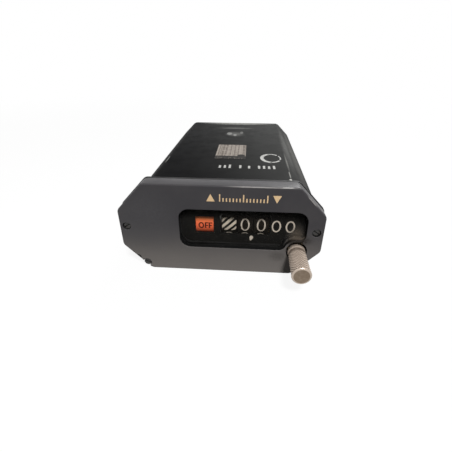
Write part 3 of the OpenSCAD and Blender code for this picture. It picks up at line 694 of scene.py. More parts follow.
@dataclass(frozen=True)
class WornLabel(Finish):
    """Buff paper label, soiled and torn at its front, with rubbed bars along it. A dark split
    and a dark stain lie near its front edge, and before the split only scraps are left."""

    paper: Colour = (0.25, 0.221, 0.192)
    soiled: Colour = (0.124, 0.106, 0.09)
    print_colour: Colour = (0.05, 0.038, 0.03)
    under: Colour = (0.006, 0.005, 0.004)
    split_at: float = 38.6
    stain_at: Vec = (7.2, 40.6, 20.4)
    bar_mm: Vec = (0.95, 400.0, 400.0)
    scrap_mm: Vec = (0.8, 60.0, 60.0)
    fray_mm: Vec = (0.7, 0.9, 5.0)
    fray_depths: Pair = (42.0, 36.0)
    soil_mm: float = 3.0
    rub_mm: float = 1.4
    fibre_mm: float = 0.4

    def build(self, graph: Graph) -> None:
        """Bars from noise stretched along the label, soiled by blotches and torn by them.

        Args:
            graph: The material's empty graph.
        """
        where = graph.place()
        _, depth, _ = graph.split(where)
        bars = graph.noise(where, self.bar_mm, 1.0, 0.9).ramp(0.46, 0.54)
        soil = graph.noise(where, self.soil_mm, 5.0, 0.7)
        rubbed = graph.noise(where, self.rub_mm, 4.0, 0.7).ramp(0.3, 0.55)
        frayed = graph.noise(where, self.fray_mm, 3.0, 0.7) + 0.26 * depth.ramp(*self.fray_depths)
        split = (depth - self.split_at + 0.6 * (soil - 0.5)).abs().ramp(1.3, 0.9)
        scraps = depth.ramp(self.split_at, self.split_at - 0.4)
        scraps = scraps * graph.noise(where, self.scrap_mm).ramp(0.47, 0.5)
        stain = (graph.distance(where, self.stain_at) + soil).ramp(2.7, 2.1)
        torn = frayed.ramp(0.64, 0.7).max(split).max(scraps).max(stain)
        colour = graph.mix(soil.ramp(0.45, 0.75) * 0.5, self.paper, self.soiled)
        colour = graph.mix(bars * rubbed * 0.7, colour, self.print_colour)
        colour = graph.mix(torn, colour, self.under)
        graph.coat(
            Base_Color=colour, Roughness=0.55 + 0.2 * soil, Specular_IOR_Level=0.1,
            Normal=graph.bump(graph.noise(where, self.fibre_mm, 3.0), 0.01),
        )


@dataclass(frozen=True)
class WhiteFloor(Finish):
    """Floor that looks white, paler still far away, but for the shade that the object casts."""

    shaded: Colour = (0.15, 0.15, 0.15)
    lit: Colour = (0.85, 0.85, 0.85)
    glow: Colour = (1.0, 1.0, 1.0)
    near_mm: float = 150.0
    far_mm: float = 700.0

    def build(self, graph: Graph) -> None:
        """White glow over diffuse paper where it is seen, and grey paper for other light.

        Args:
            graph: The material's empty graph.
        """
        seen = graph.seen()
        paper = graph.mix(seen, self.shaded, self.lit)
        away = graph.distance(graph.place(), (0.0, 0.0, 0.0)).ramp(self.near_mm, self.far_mm)
        graph.end(graph.blend(
            seen * (0.9 + 0.1 * away),
            graph.node("ShaderNodeBsdfDiffuse", None, {"Color": paper}),
            graph.node("ShaderNodeEmission", None, {"Color": self.glow, "Strength": 1.0}),
        ))


WORN_METAL = (0.42, 0.4, 0.38)
DUST_AND_SHEEN = (0.2, 0.2, 0.19)
GRIME_AND_SHADOW = (0.03, 0.027, 0.024)
# Bezel paint: lighter towards the bottom of the face, painted light as from the bright floor below;
# its marks include lighter patches of painted light and a painted shadow of the knob.
GREY_PAINT = SatinPaint(
    "grey_bezel_paint", (0.043, 0.041, 0.044), (0.155, 0.142, 0.132), WORN_METAL, 0.36,
    painted_light_from=6.0, painted_light_to=-23.0, wear=0.1, dust=0.08,
    marks=(
        Mark(RUB, (17.0, 0.2, 20.5), (17.0, 1.6, 1.2), WORN_METAL, 0.6),
        Mark(CHIP, (26.4, 0.2, 20.6), (4.2, 0.5, 0.34), (0.6, 0.58, 0.56), 0.9),
        Mark(RUB, (36.4, 0.1, 15.2), (3.6, 1.2, 3.6), WORN_METAL, 0.6),
        Mark(RUB, (-42.8, 0.1, -3.0), (1.2, 1.2, 16.0), GRIME_AND_SHADOW, 0.7),
        Mark(RUB, (-37.5, 0.1, -14.5), (6.0, 1.2, 6.0), GRIME_AND_SHADOW, 0.7),
        Mark(CHIP, (-37.0, 0.1, -14.8), (2.3, 1.6, 2.3), (0.01, 0.009, 0.008)),
        Mark(SOFT_PATCH, (32.0, 0.0, -3.0), (8.5, 3.0, 3.6), (0.01, 0.0075, 0.0055), 1.3),
        # Painted light: a lighter patch over the left of the face.
        Mark(SOFT_PATCH, (-32.0, 0.0, 4.0), (22.0, 2.0, 20.0), (0.066, 0.064, 0.067), 0.6),
        # Painted light: a lighter patch over the right of the top.
        Mark(SOFT_PATCH, (28.0, 2.5, 20.6), (16.0, 6.0, 1.6), (0.056, 0.055, 0.056), 0.6),
        # Painted shadow of the knob, with some grime: dark patches to its left and below it.
        Mark(SOFT_PATCH, (25.0, 0.0, -11.5), (5.5, 2.0, 3.5), GRIME_AND_SHADOW, 0.45),
        Mark(SOFT_PATCH, (31.0, 0.0, -16.5), (6.0, 2.0, 5.0), GRIME_AND_SHADOW, 0.4),
        Mark(SOFT_PATCH, (33.6, 1.6, -2.8), (5.4, 1.6, 2.6), (0.062, 0.05, 0.04), 1.2),
    ),
)
# Case paint: lighter towards the right and a little towards the back, painted light as from a
# bright surround at the right; some marks are painted sheen and a painted highlight.
BLACK_PAINT = SatinPaint(
    "black_case_paint", (0.0045, 0.0045, 0.0048), (0.037, 0.0375, 0.0365), WORN_METAL, 0.5,
    shine=0.006, peel_mm=0.5, dust=0.03, wear=0.3,
    painted_light_axis=(1.0, 0.2, 0.0), painted_light_from=-20.0, painted_light_to=60.0,
    marks=(
        Mark(CHIP, (28.35, 9.4, 20.2), (1.0, 1.1, 0.9), (0.5, 0.49, 0.46)),
        Mark(CHIP, (28.6, 15.0, 20.2), (0.45, 8.0, 0.9), (0.34, 0.34, 0.32), 0.6),
        Mark(SOFT_PATCH, (28.9, 32.0, 20.2), (0.6, 18.0, 0.9), (0.3, 0.3, 0.28), 0.5),
        Mark(CHIP, (-28.3, 33.0, 20.0), (0.5, 9.0, 0.9), (0.3, 0.3, 0.28), 0.7),
        Mark(SOFT_PATCH, (3.0, 117.4, 20.3), (30.0, 4.6, 2.0), (0.34, 0.34, 0.32), 1.0),
        Mark(SOFT_PATCH, (2.0, 102.5, 20.3), (15.0, 3.4, 2.0), DUST_AND_SHEEN, 0.55),
        Mark(SOFT_PATCH, (1.8, 86.0, 20.3), (7.0, 8.0, 2.0), DUST_AND_SHEEN, 0.5),
        Mark(CHIP, (-1.6, 87.0, 20.3), (2.8, 6.0, 2.0), (0.34, 0.34, 0.33), 0.5),
        Mark(CHIP, (2.0, 83.5, 20.3), (1.9, 4.5, 2.0), (0.34, 0.34, 0.33), 0.5),
        Mark(CHIP, (6.0, 90.0, 20.3), (1.8, 5.5, 2.0), (0.3, 0.3, 0.29), 0.35),
        # Painted highlight along the rounded top right edge.
        Mark(SOFT_PATCH, (30.5, 60.0, 18.6), (3.0, 60.0, 3.0), DUST_AND_SHEEN, 0.55),
        # Painted light: the right side lighter.
        Mark(SOFT_PATCH, (35.5, 62.0, 15.5), (4.6, 70.0, 6.0), (0.1, 0.098, 0.092), 1.0),
        # Painted sheen on the left side.
        Mark(SOFT_PATCH, (-37.6, 64.0, -3.0), (3.0, 70.0, 19.0), (0.06, 0.06, 0.058), 0.9),
        # Painted sheen on the back.
        Mark(SOFT_PATCH, (1.0, 120.8, -1.0), (48.0, 2.5, 26.0), (0.07, 0.07, 0.068), 0.9),
        Mark(RUB, (1.0, 119.5, 0.0), (60.0, 3.0, 40.0), (0.34, 0.34, 0.33), 0.8),
    ),
)
KNOB_METAL = GrippedMetal("knob_metal")
DRUM_INK = DialInk("drum_ink", (0.6, 0.53, 0.46), (0.48, 0.42, 0.36))
MARK_INK = DialInk("mark_ink", (0.66, 0.47, 0.27), (0.52, 0.37, 0.21))
STAMP_INK = DialInk("stamp_ink", (0.4, 0.4, 0.38), (0.12, 0.12, 0.115), 0.5)
FLAG_INK = DialInk("flag_ink", (0.035, 0.006, 0.003), (0.06, 0.011, 0.004))
HATCH = HatchedInk("hatched_nought", (0.62, 0.54, 0.45), (0.0045, 0.004, 0.003))
FLAG_PAINT = FlagPaint("flag_paint")
LABEL_PAPER = WornLabel("label_paper")

SLOT_FINISHES: dict[str, Finish] = {
    "bezel_paint": GREY_PAINT,
    "flange_black": SatinPaint(
        "flange_paint", (0.006, 0.006, 0.006), (0.014, 0.014, 0.014), (0.2, 0.2, 0.19), 0.45,
        shine=0.1,
    ),
    "window_glass": ClearGlass("window_glass"),
    "black_rubber": Moulded("rubber", (0.006, 0.006, 0.006), (0.01, 0.01, 0.01), 0.75,
                            shine=0.1),
    "dial_black": Moulded("dial_black", (0.0045, 0.0045, 0.0043), (0.0075, 0.007, 0.006), 0.7,
                          blotch_mm=4.0, grain_mm=0.2, shine=0.04),
    "dark_screw": Metal("dark_screw", (0.034, 0.033, 0.032), (0.05, 0.035, 0.022), 0.42,
                        metallic=0.4),
    "brass": Metal("brass", (0.62, 0.44, 0.19), (0.3, 0.19, 0.08), 0.28),
    "lamp_glass": Moulded("lamp_glass", (0.5, 0.48, 0.38), (0.42, 0.4, 0.3), 0.12),
    "machined_aluminium": Metal("machined_aluminium", (0.62, 0.62, 0.6), (0.42, 0.41, 0.38), 0.3),
    "case_black": BLACK_PAINT,
    "bright_steel": Metal("bright_steel", (0.58, 0.57, 0.55), (0.3, 0.27, 0.23), 0.24,
                          marks_mm=(4.0, 0.25, 0.25)),
    "drum_black": Moulded("drum_black", (0.006, 0.005, 0.0038), (0.012, 0.009, 0.006), 0.65,
                          grain_mm=0.2, shine=0.04),
    "spring_bronze": Metal("spring_bronze", (0.5, 0.33, 0.16), (0.25, 0.15, 0.07), 0.3),
    "knob_metal": KNOB_METAL,
    "flag_orange": FLAG_PAINT,
    "coil_enamel": Banded("coil_enamel", (0.5, 0.16, 0.06), (0.12, 0.03, 0.015), 0, 0.35),
    "synchro_grey": SatinPaint(
        "synchro_paint", (0.12, 0.12, 0.12), (0.17, 0.165, 0.16), (0.4, 0.39, 0.37), 0.42,
    ),
    "board_green": CircuitBoard("board_green"),
    "capacitor_sleeve": Moulded("capacitor_sleeve", (0.02, 0.05, 0.14), (0.025, 0.06, 0.16), 0.3),
    "transformer_core": Banded("transformer_core", (0.09, 0.085, 0.08), (0.02, 0.018, 0.016), 0,
                               0.5, 0.7, 0.5),
    "connector_alloy": Metal("connector_alloy", (0.24, 0.24, 0.19), (0.13, 0.12, 0.08), 0.42,
                             marks_mm=(0.3, 0.3, 0.3)),
    "insert_plastic": Moulded("insert_plastic", (0.014, 0.014, 0.015), (0.022, 0.022, 0.022), 0.5),
    "contact_gold": Metal("contact_gold", (0.83, 0.6, 0.22), (0.6, 0.42, 0.16), 0.2),
    "wire_sleeve": Moulded("wire_sleeve", (0.46, 0.43, 0.36), (0.34, 0.31, 0.25), 0.5),
}
NODE_FINISHES: dict[str, Finish] = {
    "hundreds_gear": Metal("blackened_brass", (0.012, 0.01, 0.008), (0.02, 0.014, 0.008), 0.55,
                           metallic=0.3),
}


def arc(centre: Sequence[float], radius: Union[float, Pair], start: float, stop: float,
        steps: int) -> np.ndarray:
    """Points on a circle or ellipse: centre plus radius times cosine and sine of the angle.

    Args:
        centre: Its middle.
        radius: One radius, or one across and one up.
        start: First angle in degrees, anticlockwise from +x.
        stop: Last angle in degrees.
        steps: Number of pieces between the two angles.

    Returns:
        The points as rows of x and z.
    """
    angle = np.radians(np.linspace(start, stop, steps + 1))
    size = np.broadcast_to(radius, 2)
    return np.asarray(centre) + size * np.column_stack([np.cos(angle), np.sin(angle)])


def ring(centre: Sequence[float], radius: float, steps: int = 64) -> np.ndarray:
    """A closed circle, without its first point repeated."""
    return arc(centre, radius, 0, 360, steps)[:-1]


def rounded(corners: np.ndarray, radius: float, steps: int = 8) -> np.ndarray:
    """A polygon with its corners rounded.

    Each corner gives way to an arc that touches both of its edges: the arc's centre is the
    corner, moved back along the first edge by radius times the tangent of half the turn, and
    inward by the radius.

    Args:
        corners: The corners, anticlockwise.
        radius: Radius of the arcs.
        steps: Pieces of each arc.

    Returns:
        A closed loop of points.
    """
    before = corners - np.roll(corners, 1, 0)
    after = np.roll(corners, -1, 0) - corners
    before /= np.linalg.norm(before, axis=1, keepdims=True)
    after /= np.linalg.norm(after, axis=1, keepdims=True)
    turn = np.arccos(np.clip(np.sum(before * after, axis=1), -1, 1))
    inward = np.column_stack([-before[:, 1], before[:, 0]])
    centre = corners - before * (radius * np.tan(turn / 2))[:, None] + inward * radius
    first = np.arctan2(-before[:, 0], before[:, 1])
    angle = first[:, None] + turn[:, None] * np.linspace(0, 1, steps + 1)
    points = centre[:, None] + radius * np.stack([np.cos(angle), np.sin(angle)], axis=-1)
    return points.reshape(-1, 2)


def octagon(width: float, height: float, cut_w: float, cut_h: float, radius: float) -> np.ndarray:
    """A rectangle with its four corners cut off.

    Args:
        width: Its width.
        height: Its height.
        cut_w: How far each cut reaches across.
        cut_h: How far each cut reaches up.
        radius: Radius that softens the eight corners.

    Returns:
        The closed loop, anticlockwise.
    """
    x, z = width / 2, height / 2
    corners = np.array([
        [x, cut_h - z], [x, z - cut_h], [x - cut_w, z], [cut_w - x, z],
        [-x, z - cut_h], [-x, cut_h - z], [cut_w - x, -z], [x - cut_w, -z],
    ])
    return rounded(corners, radius)


def rounded_box(x0: float, x1: float, z0: float, z1: float, radius: float) -> np.ndarray:
    """A rectangle with rounded corners."""
    return rounded(np.array([[x1, z0], [x1, z1], [x0, z1], [x0, z0]], float), radius)


def inset(loop: np.ndarray, distance: Union[float, np.ndarray]) -> np.ndarray:
    """Moves a closed anticlockwise loop inward.

    Each point moves by the distance times the sum of its two edges' inward normals over one
    plus the product of the two, which keeps both edges parallel to themselves.

    Args:
        loop: The loop's points.
        distance: How far in, for all points or for each one; below 0 moves outward.

    Returns:
        The moved loop.
    """
    edge = np.roll(loop, -1, 0) - loop
    edge /= np.linalg.norm(edge, axis=1, keepdims=True)
    after = np.column_stack([-edge[:, 1], edge[:, 0]])
    before = np.roll(after, 1, 0)
    mitre = (before + after) / (1 + np.sum(before * after, axis=1))[:, None]
    return loop + np.reshape(distance, (-1, 1)) * mitre


def spaced(line: np.ndarray, step: float) -> np.ndarray:
    """Adds points to a line, evenly between its own.

    Args:
        line: Rows of points.
        step: Longest distance between two points along the line.

    Returns:
        The line's own points and the new ones.
    """
    lengths = np.linalg.norm(np.diff(line, axis=0), axis=1)
    at = np.concatenate([[0], np.cumsum(lengths)])
    counts = np.maximum(1, np.ceil(np.diff(at) / step)).astype(int)
    runs = [np.linspace(a, b, count, endpoint=False) for a, b, count in zip(at, at[1:], counts)]
    places = np.append(np.concatenate(runs), at[-1])
    return np.column_stack([np.interp(places, at, line[:, k]) for k in (0, 1)])


def crossing(inner: np.ndarray, outer: np.ndarray, centre: np.ndarray, radius: float) -> np.ndarray:
    """Where a line leaves a circle: the root of a quadratic in the share of the line.

    Args:
        inner: A point inside the circle.
        outer: A point outside it.
        centre: The circle's middle.
        radius: The circle's radius.

    Returns:
        The point between the two that lies on the circle.
    """
    step = outer - inner
    a, b = step @ step, (inner - centre) @ step
    c = (inner - centre) @ (inner - centre) - radius**2
    return inner + step * (-b + math.sqrt(b * b - a * c)) / a


def bitten(loop: np.ndarray, centre: Sequence[float], radius: float, steps: int = 24) -> np.ndarray:
    """A closed anticlockwise loop with a round bite out of its edge.

    Args:
        loop: The loop, whose edge runs through the circle.
        centre: Middle of the bite.
        radius: Radius of the bite.
        steps: Pieces of the bite's arc.

    Returns:
        The loop with the points inside the circle replaced by the arc.
    """
    middle = np.asarray(centre, float)
    loop = spaced(np.vstack([loop, loop[:1]]), radius / 2)[:-1]
    inside = np.linalg.norm(loop - middle, axis=1) < radius
    turned = np.roll(loop, -int(np.flatnonzero(inside & ~np.roll(inside, 1))[0]), axis=0)
    count = int(inside.sum())
    entry = crossing(turned[0], turned[-1], middle, radius) - middle
    leave = crossing(turned[count - 1], turned[count], middle, radius) - middle
    first = math.degrees(math.atan2(entry[1], entry[0]))
    last = math.degrees(math.atan2(leave[1], leave[0]))
    last -= 360 * (last > first)
    return np.vstack([arc(middle, radius, first, last, steps), turned[count:]])


def round_edge(radius: float, steps: int = 5, lead: float = 0.08) -> np.ndarray:
    """Profile of a rounded front edge, from the flat face over a quarter circle to the wall.

    Args:
        radius: Radius of the edge.
        steps: Pieces of the quarter circle.
        lead: Width of the strip of flat face before it, which keeps the face's shading flat.

    Returns:
        Rows of how far in from the wall, depth, and edge weight.
    """
    angle = np.linspace(0, np.pi / 2, steps + 1)
    inward, deep = radius * (1 - np.sin(angle)), radius * (1 - np.cos(angle))
    return np.vstack([[radius + lead, 0, 0], np.column_stack([inward, deep, np.sin(2 * angle)])])


def angles(steps: int) -> np.ndarray:
    """Even angles round a circle, in radians, without the first one repeated."""
    return np.linspace(0, 2 * np.pi, steps, endpoint=False)


def all_round(profile: Sequence, steps: int) -> np.ndarray:
    """Repeats the rows of a profile for every angle."""
    return np.repeat(np.array(profile, float)[:, None], steps, axis=1)


def in_frame(points: np.ndarray) -> np.ndarray:
    """Turns rows of x, depth and z in millimetres into metres in the CAD frame."""
    return (np.asarray(points, float) + [0, FACE_Y, MID_Z]) * MM


def put(name: str, data: bpy.types.ID) -> bpy.types.Object:
    """Makes an object and links it to the scene.

    Args:
        name: Its name.
        data: Its mesh, lamp or camera.

    Returns:
        The object.
    """
    made = bpy.data.objects.new(name, data)
    bpy.context.scene.collection.objects.link(made)
    return made


@dataclass
class Shell:
    """Points and faces on their way to one mesh, in millimetres of x, depth and z."""

    points: list[np.ndarray] = field(default_factory=list)
    faces: list[np.ndarray] = field(default_factory=list)
    weights: dict[str, list[np.ndarray]] = field(default_factory=dict)
    count: int = 0

    def add(self, points: np.ndarray, faces: np.ndarray, **weights: np.ndarray) -> None:
        """Adds points and the faces between them.

        Args:
            points: Rows of x, depth and z.
            faces: Rows of three or four point numbers.
            weights: Numbers that the points carry, by name.
        """
        self.points.append(points)
        self.faces.append(faces + self.count)
        for name in set(weights) | set(self.weights):
            kept = self.weights.setdefault(name, [np.zeros(self.count)] if self.count else [])
            kept.append(np.asarray(weights.get(name, np.zeros(len(points))), float).ravel())
        self.count += len(points)

    def grid(self, points: np.ndarray, wrap: bool = True, **weights: np.ndarray) -> None:
        """Adds a grid of quads.

        Args:
            points: Array of rows, columns and x, depth, z.
            wrap: Whether the last column joins the first.
            weights: Numbers that the points carry, by name.
        """
        rows, columns = points.shape[:2]
        index = np.arange(rows * columns).reshape(rows, columns)
        following = np.roll(index, -1, axis=1)
        last = columns if wrap else columns - 1
        quads = np.stack([index[:-1], index[1:], following[1:], following[:-1]], axis=-1)[:, :last]
        self.add(points.reshape(-1, 3), quads.reshape(-1, 4), **weights)

    def carry(self, loop: np.ndarray, profile: np.ndarray, inner_from: float = math.inf) -> None:
        """Carries a profile round a loop.

        Args:
            loop: Closed loop of x and z, anticlockwise.
            profile: Rows of how far in, depth, and edge weight.
            inner_from: Depth from which the wall counts as the inside of an opening.
        """
        rows = [inset(loop, step[0]) for step in profile]
        points = np.stack([
            np.column_stack([row[:, 0], np.full(len(row), step[1]), row[:, 1]])
            for row, step in zip(rows, profile)
        ])
        inner = profile[:, 1] > inner_from
        edge = np.repeat(profile[:, 2], len(loop))
        self.grid(points, edge=edge, inner=np.repeat(inner, len(loop)))

    def wall(self, loop: np.ndarray, start: float, stop: float) -> None:
        """Adds a straight wall round a loop, from one depth to another."""
        self.carry(loop, np.array([[0, start, 0], [0, stop, 0]]))

    def flat(self, depth: float, outer: np.ndarray, *holes: np.ndarray, inner: float = 0.0) -> None:
        """Fills a flat face at one depth.

        Args:
            depth: Its depth.
            outer: The loop round it.
            holes: The loops of its holes.
            inner: 1 where the face is inside an opening.
        """
        loops = [outer, *holes]
        every = np.vstack(loops)
        triangles = tessellate_polygon([[Vector((x, z, 0)) for x, z in loop] for loop in loops])
        points = np.column_stack([every[:, 0], np.full(len(every), depth), every[:, 1]])
        self.add(points, np.array(triangles), inner=np.full(len(every), inner))

    def lathe(self, axis: Pair, profile: np.ndarray, **weights: np.ndarray) -> None:
        """Turns a profile round an axis along the depth: x and z are the axis plus radius times
        cosine and sine of the angle.

        Args:
            axis: x and z of the axis.
            profile: Rows of radius and depth for each angle.
            weights: Numbers that the points carry, by name.
        """
        radius, depth = profile[..., 0], profile[..., 1]
        angle = angles(profile.shape[1])
        x, z = axis[0] + radius * np.cos(angle), axis[1] + radius * np.sin(angle)
        self.grid(np.stack([x, depth, z], axis=-1), **weights)

    def build(self, name: str, finish: Finish, body: str, slot: str, *, outward: bool = True,
              crease: float = 35.0, uv: np.ndarray | None = None) -> bpy.types.Object:
        """Makes the mesh and its object, at the origin, riding on a CAD body.

        Args:
            name: Name of the piece.
            finish: Its surface.
            body: The CAD body it rides on.
            slot: The record's material slot that it belongs to; not used.
            outward: Whether the faces are turned outward, for a closed shell.
            crease: Angle in degrees past which an edge is shaded sharp.
            uv: One UV pair for each point, in millimetres.

        Returns:
            The object.
        """
        points = in_frame(np.vstack(self.points))
        faces = [tuple(face) for block in self.faces for face in block.tolist()]
        mesh = bpy.data.meshes.new(name)
        mesh.from_pydata(points.tolist(), [], faces)
        for key, parts in self.weights.items():
            layer = mesh.attributes.new(key, "FLOAT", "POINT")
            layer.data.foreach_set("value", np.concatenate(parts).astype(np.float32))
        if uv is not None:
            corner = np.zeros(len(mesh.loops), np.int32)
            mesh.loops.foreach_get("vertex_index", corner)
            layer = mesh.uv_layers.new(name="UVMap")
            layer.data.foreach_set("uv", uv[corner].astype(np.float32).ravel())
        work = bmesh.new()
        work.from_mesh(mesh)
        bmesh.ops.remove_doubles(work, verts=work.verts, dist=WELD_M)
        bmesh.ops.dissolve_degenerate(work, edges=work.edges, dist=SLIVER_M)
        if outward:
            bmesh.ops.recalc_face_normals(work, faces=work.faces)
        work.to_mesh(mesh)
        work.free()
        mesh.polygons.foreach_set("use_smooth", np.ones(len(mesh.polygons), bool))
        mesh.set_sharp_from_angle(angle=math.radians(crease))
        mesh.materials.append(finish.material())
        piece = put(name, mesh)
        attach(piece, body)
        log.info("%s: %d faces on body %s", name, len(mesh.polygons), body)
        return piece


@dataclass
class Bezel:
    """The grey front frame, with its window, boss, knob hole, screw wells and clamp notch."""

    width: float = 86.0
    height: float = 41.3
    cut_w: float = 11.6
    cut_h: float = 12.2
    corner_r: float = 3.0
    thickness: float = 6.8
    edge_r: float = 0.55
    back_edge: Pair = (0.1, 0.25)
    window: tuple[float, float, float, float] = (-17.3, 36.0, -8.25, 9.95)
    window_r: float = 4.5
    window_edge_r: float = 0.25
    lip: float = 2.0
    pocket_rim: float = 1.2
    pocket_gap: float = 0.03
    knob_at: Pair = (32.7, -8.45)
    boss_r: float = 5.4
    boss_fillets: Pair = (3.0, 2.3)
    knob_hole_r: float = 4.4
    screw_at: Pair = (40.0, 0.9)
    screw_r: float = 1.75
    screw_shank_r: float = 1.1
    screw_seat: float = 2.4
    inside: float = 0.12
    notch_at: Pair = (-33.3, -17.9)
    notch_r: float = 1.9
    lamp_at: Pair = (-20.3, 5.0)
    lamp_r: float = 1.6
    lamp_seat: float = 3.0

    def window_loop(self) -> np.ndarray:
        """Edge of the window: a rounded box that gives way to the knob's boss at its lower
        right. Two fillets join the boss to the box. Each fillet's centre lies its own radius
        from the straight edge, and its own radius and the boss's from the boss's centre.

        Returns:
            The closed loop, anticlockwise.
        """
        left, right, low, high = self.window
        corner = self.window_r
        boss = np.array(self.knob_at)
        first, second = self.boss_fillets
        rise = low + first - boss[1]
        back = math.sqrt((self.boss_r + first) ** 2 - rise**2)
        under = np.array([boss[0] - back, low + first])
        reach = right - second - boss[0]
        lift = math.sqrt((self.boss_r + second) ** 2 - reach**2)
        beside = np.array([right - second, boss[1] + lift])
        leave = math.degrees(math.atan2(*(under - boss)[::-1]))
        meet = math.degrees(math.atan2(*(beside - boss)[::-1]))
        return np.vstack([
            arc((right - corner, high - corner), corner, 0, 90, 12),
            arc((left + corner, high - corner), corner, 90, 180, 12),
            arc((left + corner, low + corner), corner, 180, 270, 12),
            arc(under, first, 270, 360 + leave - 180, 8),
            arc(boss, self.boss_r, leave, meet, 24)[1:-1],
            arc(beside, second, meet - 180, 0, 8),
        ])

    def pocket_loop(self) -> np.ndarray:
        """Wall of the pocket for the glass: the window's box grown by the rim, less the boss.

        Returns:
            The closed loop, anticlockwise.
        """
        left, right, low, high = self.window
        rim = self.pocket_rim
        box = rounded_box(left - rim, right + rim, low - rim, high + rim, self.window_r)
        return bitten(box, self.knob_at, self.boss_r - self.pocket_gap, 32)

    def build(self) -> None:
        """Makes the frame from its walls and its flat faces and puts it for the CAD bezel."""
        shell = Shell()
        outline = bitten(
            octagon(self.width, self.height, self.cut_w, self.cut_h, self.corner_r),
            self.notch_at, self.notch_r,
        )
        window, pocket = self.window_loop(), self.pocket_loop()
        knob_hole = ring(self.knob_at, self.knob_hole_r, 96)
        edge, thin = round_edge(self.edge_r), round_edge(self.window_edge_r)
        sides = [(side * self.screw_at[0], self.screw_at[1]) for side in (-1, 1)]
        wells = [ring(place, self.screw_r) for place in sides]
        shanks = [ring(place, self.screw_shank_r) for place in sides]
        lamps = [ring((self.lamp_at[0], up * self.lamp_at[1]), self.lamp_r, 32) for up in (-1, 1)]
        back = self.thickness
        less, before = self.back_edge

        shell.carry(outline, np.vstack([edge, [[0, back - before, 0], [less, back, 0]]]))
        into = thin * [-1, 1, 1]
        # Walls past the inside depth, the screw seats and the pocket's floor are marked inside and
        # painted near black: black paint in the window, painted shade in the screw wells and the
        # knob hole.
        shell.carry(window, np.vstack([into, [[0, self.lip, 0]]]), self.inside)
        shell.carry(knob_hole, np.vstack([into, [[0, back, 0]]]), self.inside)
        for well, shank in zip(wells, shanks):
            shell.carry(well, np.vstack([into, [[0, self.screw_seat, 0]]]), self.inside)
            shell.flat(self.screw_seat, well, shank, inner=1)
            shell.wall(shank, self.screw_seat, back)
        for lamp in lamps:
            shell.wall(lamp, self.lamp_seat, back)
            shell.flat(self.lamp_seat, lamp)
        shell.flat(self.lip, pocket, window, inner=1)
        shell.wall(pocket, self.lip, back)
        front = [inset(loop, into[0, 0]) for loop in (window, knob_hole, *wells)]
        shell.flat(0, inset(outline, edge[0, 0]), *front)
        shell.flat(back, inset(outline, less), pocket, knob_hole, *shanks, *lamps)
        piece = shell.build("bezel_frame", GREY_PAINT, "case", "bezel_paint")
        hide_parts("bezel")


@dataclass
class Case:
    """The long black sleeve and the cover at its back. The rows of a lip say how far in a point
    is, how far behind the sleeve's end, and its edge weight."""

    width: float = 76.4
    height: float = 41.0
    cut: float = 8.55
    corner_r: float = 4.0
    middle: float = 1.0
    wall: float = 0.8
    drop: float = -0.15
    front: float = 8.9
    back: float = 118.9
    cover_back: float = 120.5
    spigot: float = 2.5
    slip: float = 0.05
    socket_r: float = 12.1
    rod_at: Vec = (35.3, 5.2, -3.0)
    rod_r: float = 1.0
    plate_screw_at: float = 12.0
    plate_screw_r: float = 1.2
    front_lip: tuple[Vec, ...] = (
        (0.3, 0.0, 0.0), (0.08, 0.05, 0.6), (0.0, 0.25, 1.0), (0.0, 0.8, 0.0),
    )
    back_lip: tuple[Vec, ...] = ((0.0, -0.4, 0.0), (0.08, -0.08, 0.7), (0.25, 0.0, 0.4))
    cover_lip: tuple[Vec, ...] = ((0.3, 0.0, 0.0), (0.05, 0.1, 0.4))
    cover_edge_r: float = 0.6

    def outline(self) -> np.ndarray:
        """The case's octagon at its place."""
        loop = octagon(self.width, self.height, self.cut, self.cut, self.corner_r)
        return loop + [self.middle, self.drop]

    def build(self) -> None:
        """Makes the sleeve and the cover and puts them for their CAD nodes."""
        sleeve = Shell()
        front_end, back_end = np.array([0, self.front, 0]), np.array([0, self.back, 0])
        sleeve.carry(self.outline(), np.vstack([
            [[self.wall, self.front, 0]], front_end + self.front_lip, back_end + self.back_lip,
            [[self.wall, self.back, 0], [self.wall, self.front, 0]],
        ]))
        piece = sleeve.build("case_tube", BLACK_PAINT, "case", "case_black")
        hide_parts("case_sleeve")

        cover = Shell()
        outline = self.outline()
        inner = self.wall + self.slip
        inside = self.back - self.spigot
        edge = round_edge(self.cover_edge_r)[::-1] * [1, -1, 1] + [0, self.cover_back, 0]
        cover.carry(outline, np.vstack([
            [[inner, inside, 0], [inner, self.back, 0]], back_end + self.cover_lip, edge,
        ]))
        side, high, low = self.rod_at
        apart = self.plate_screw_at
        loops = [ring((0, self.drop), self.socket_r, 64)]
        loops += [ring((self.middle + s * side, z), self.rod_r, 24)
                  for s in (-1, 1) for z in (high, low)]
        loops += [ring((x * apart, self.drop + z * apart), self.plate_screw_r, 24)
                  for x, z in CORNERS]
        for loop in loops:
            cover.wall(loop, inside, self.cover_back)
        cover.flat(inside, inset(outline, inner), *loops)
        cover.flat(self.cover_back, inset(outline, edge[-1, 0]), *loops)
        piece = cover.build("back_cover", BLACK_PAINT, "case", "case_black")
        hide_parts("rear_cover")


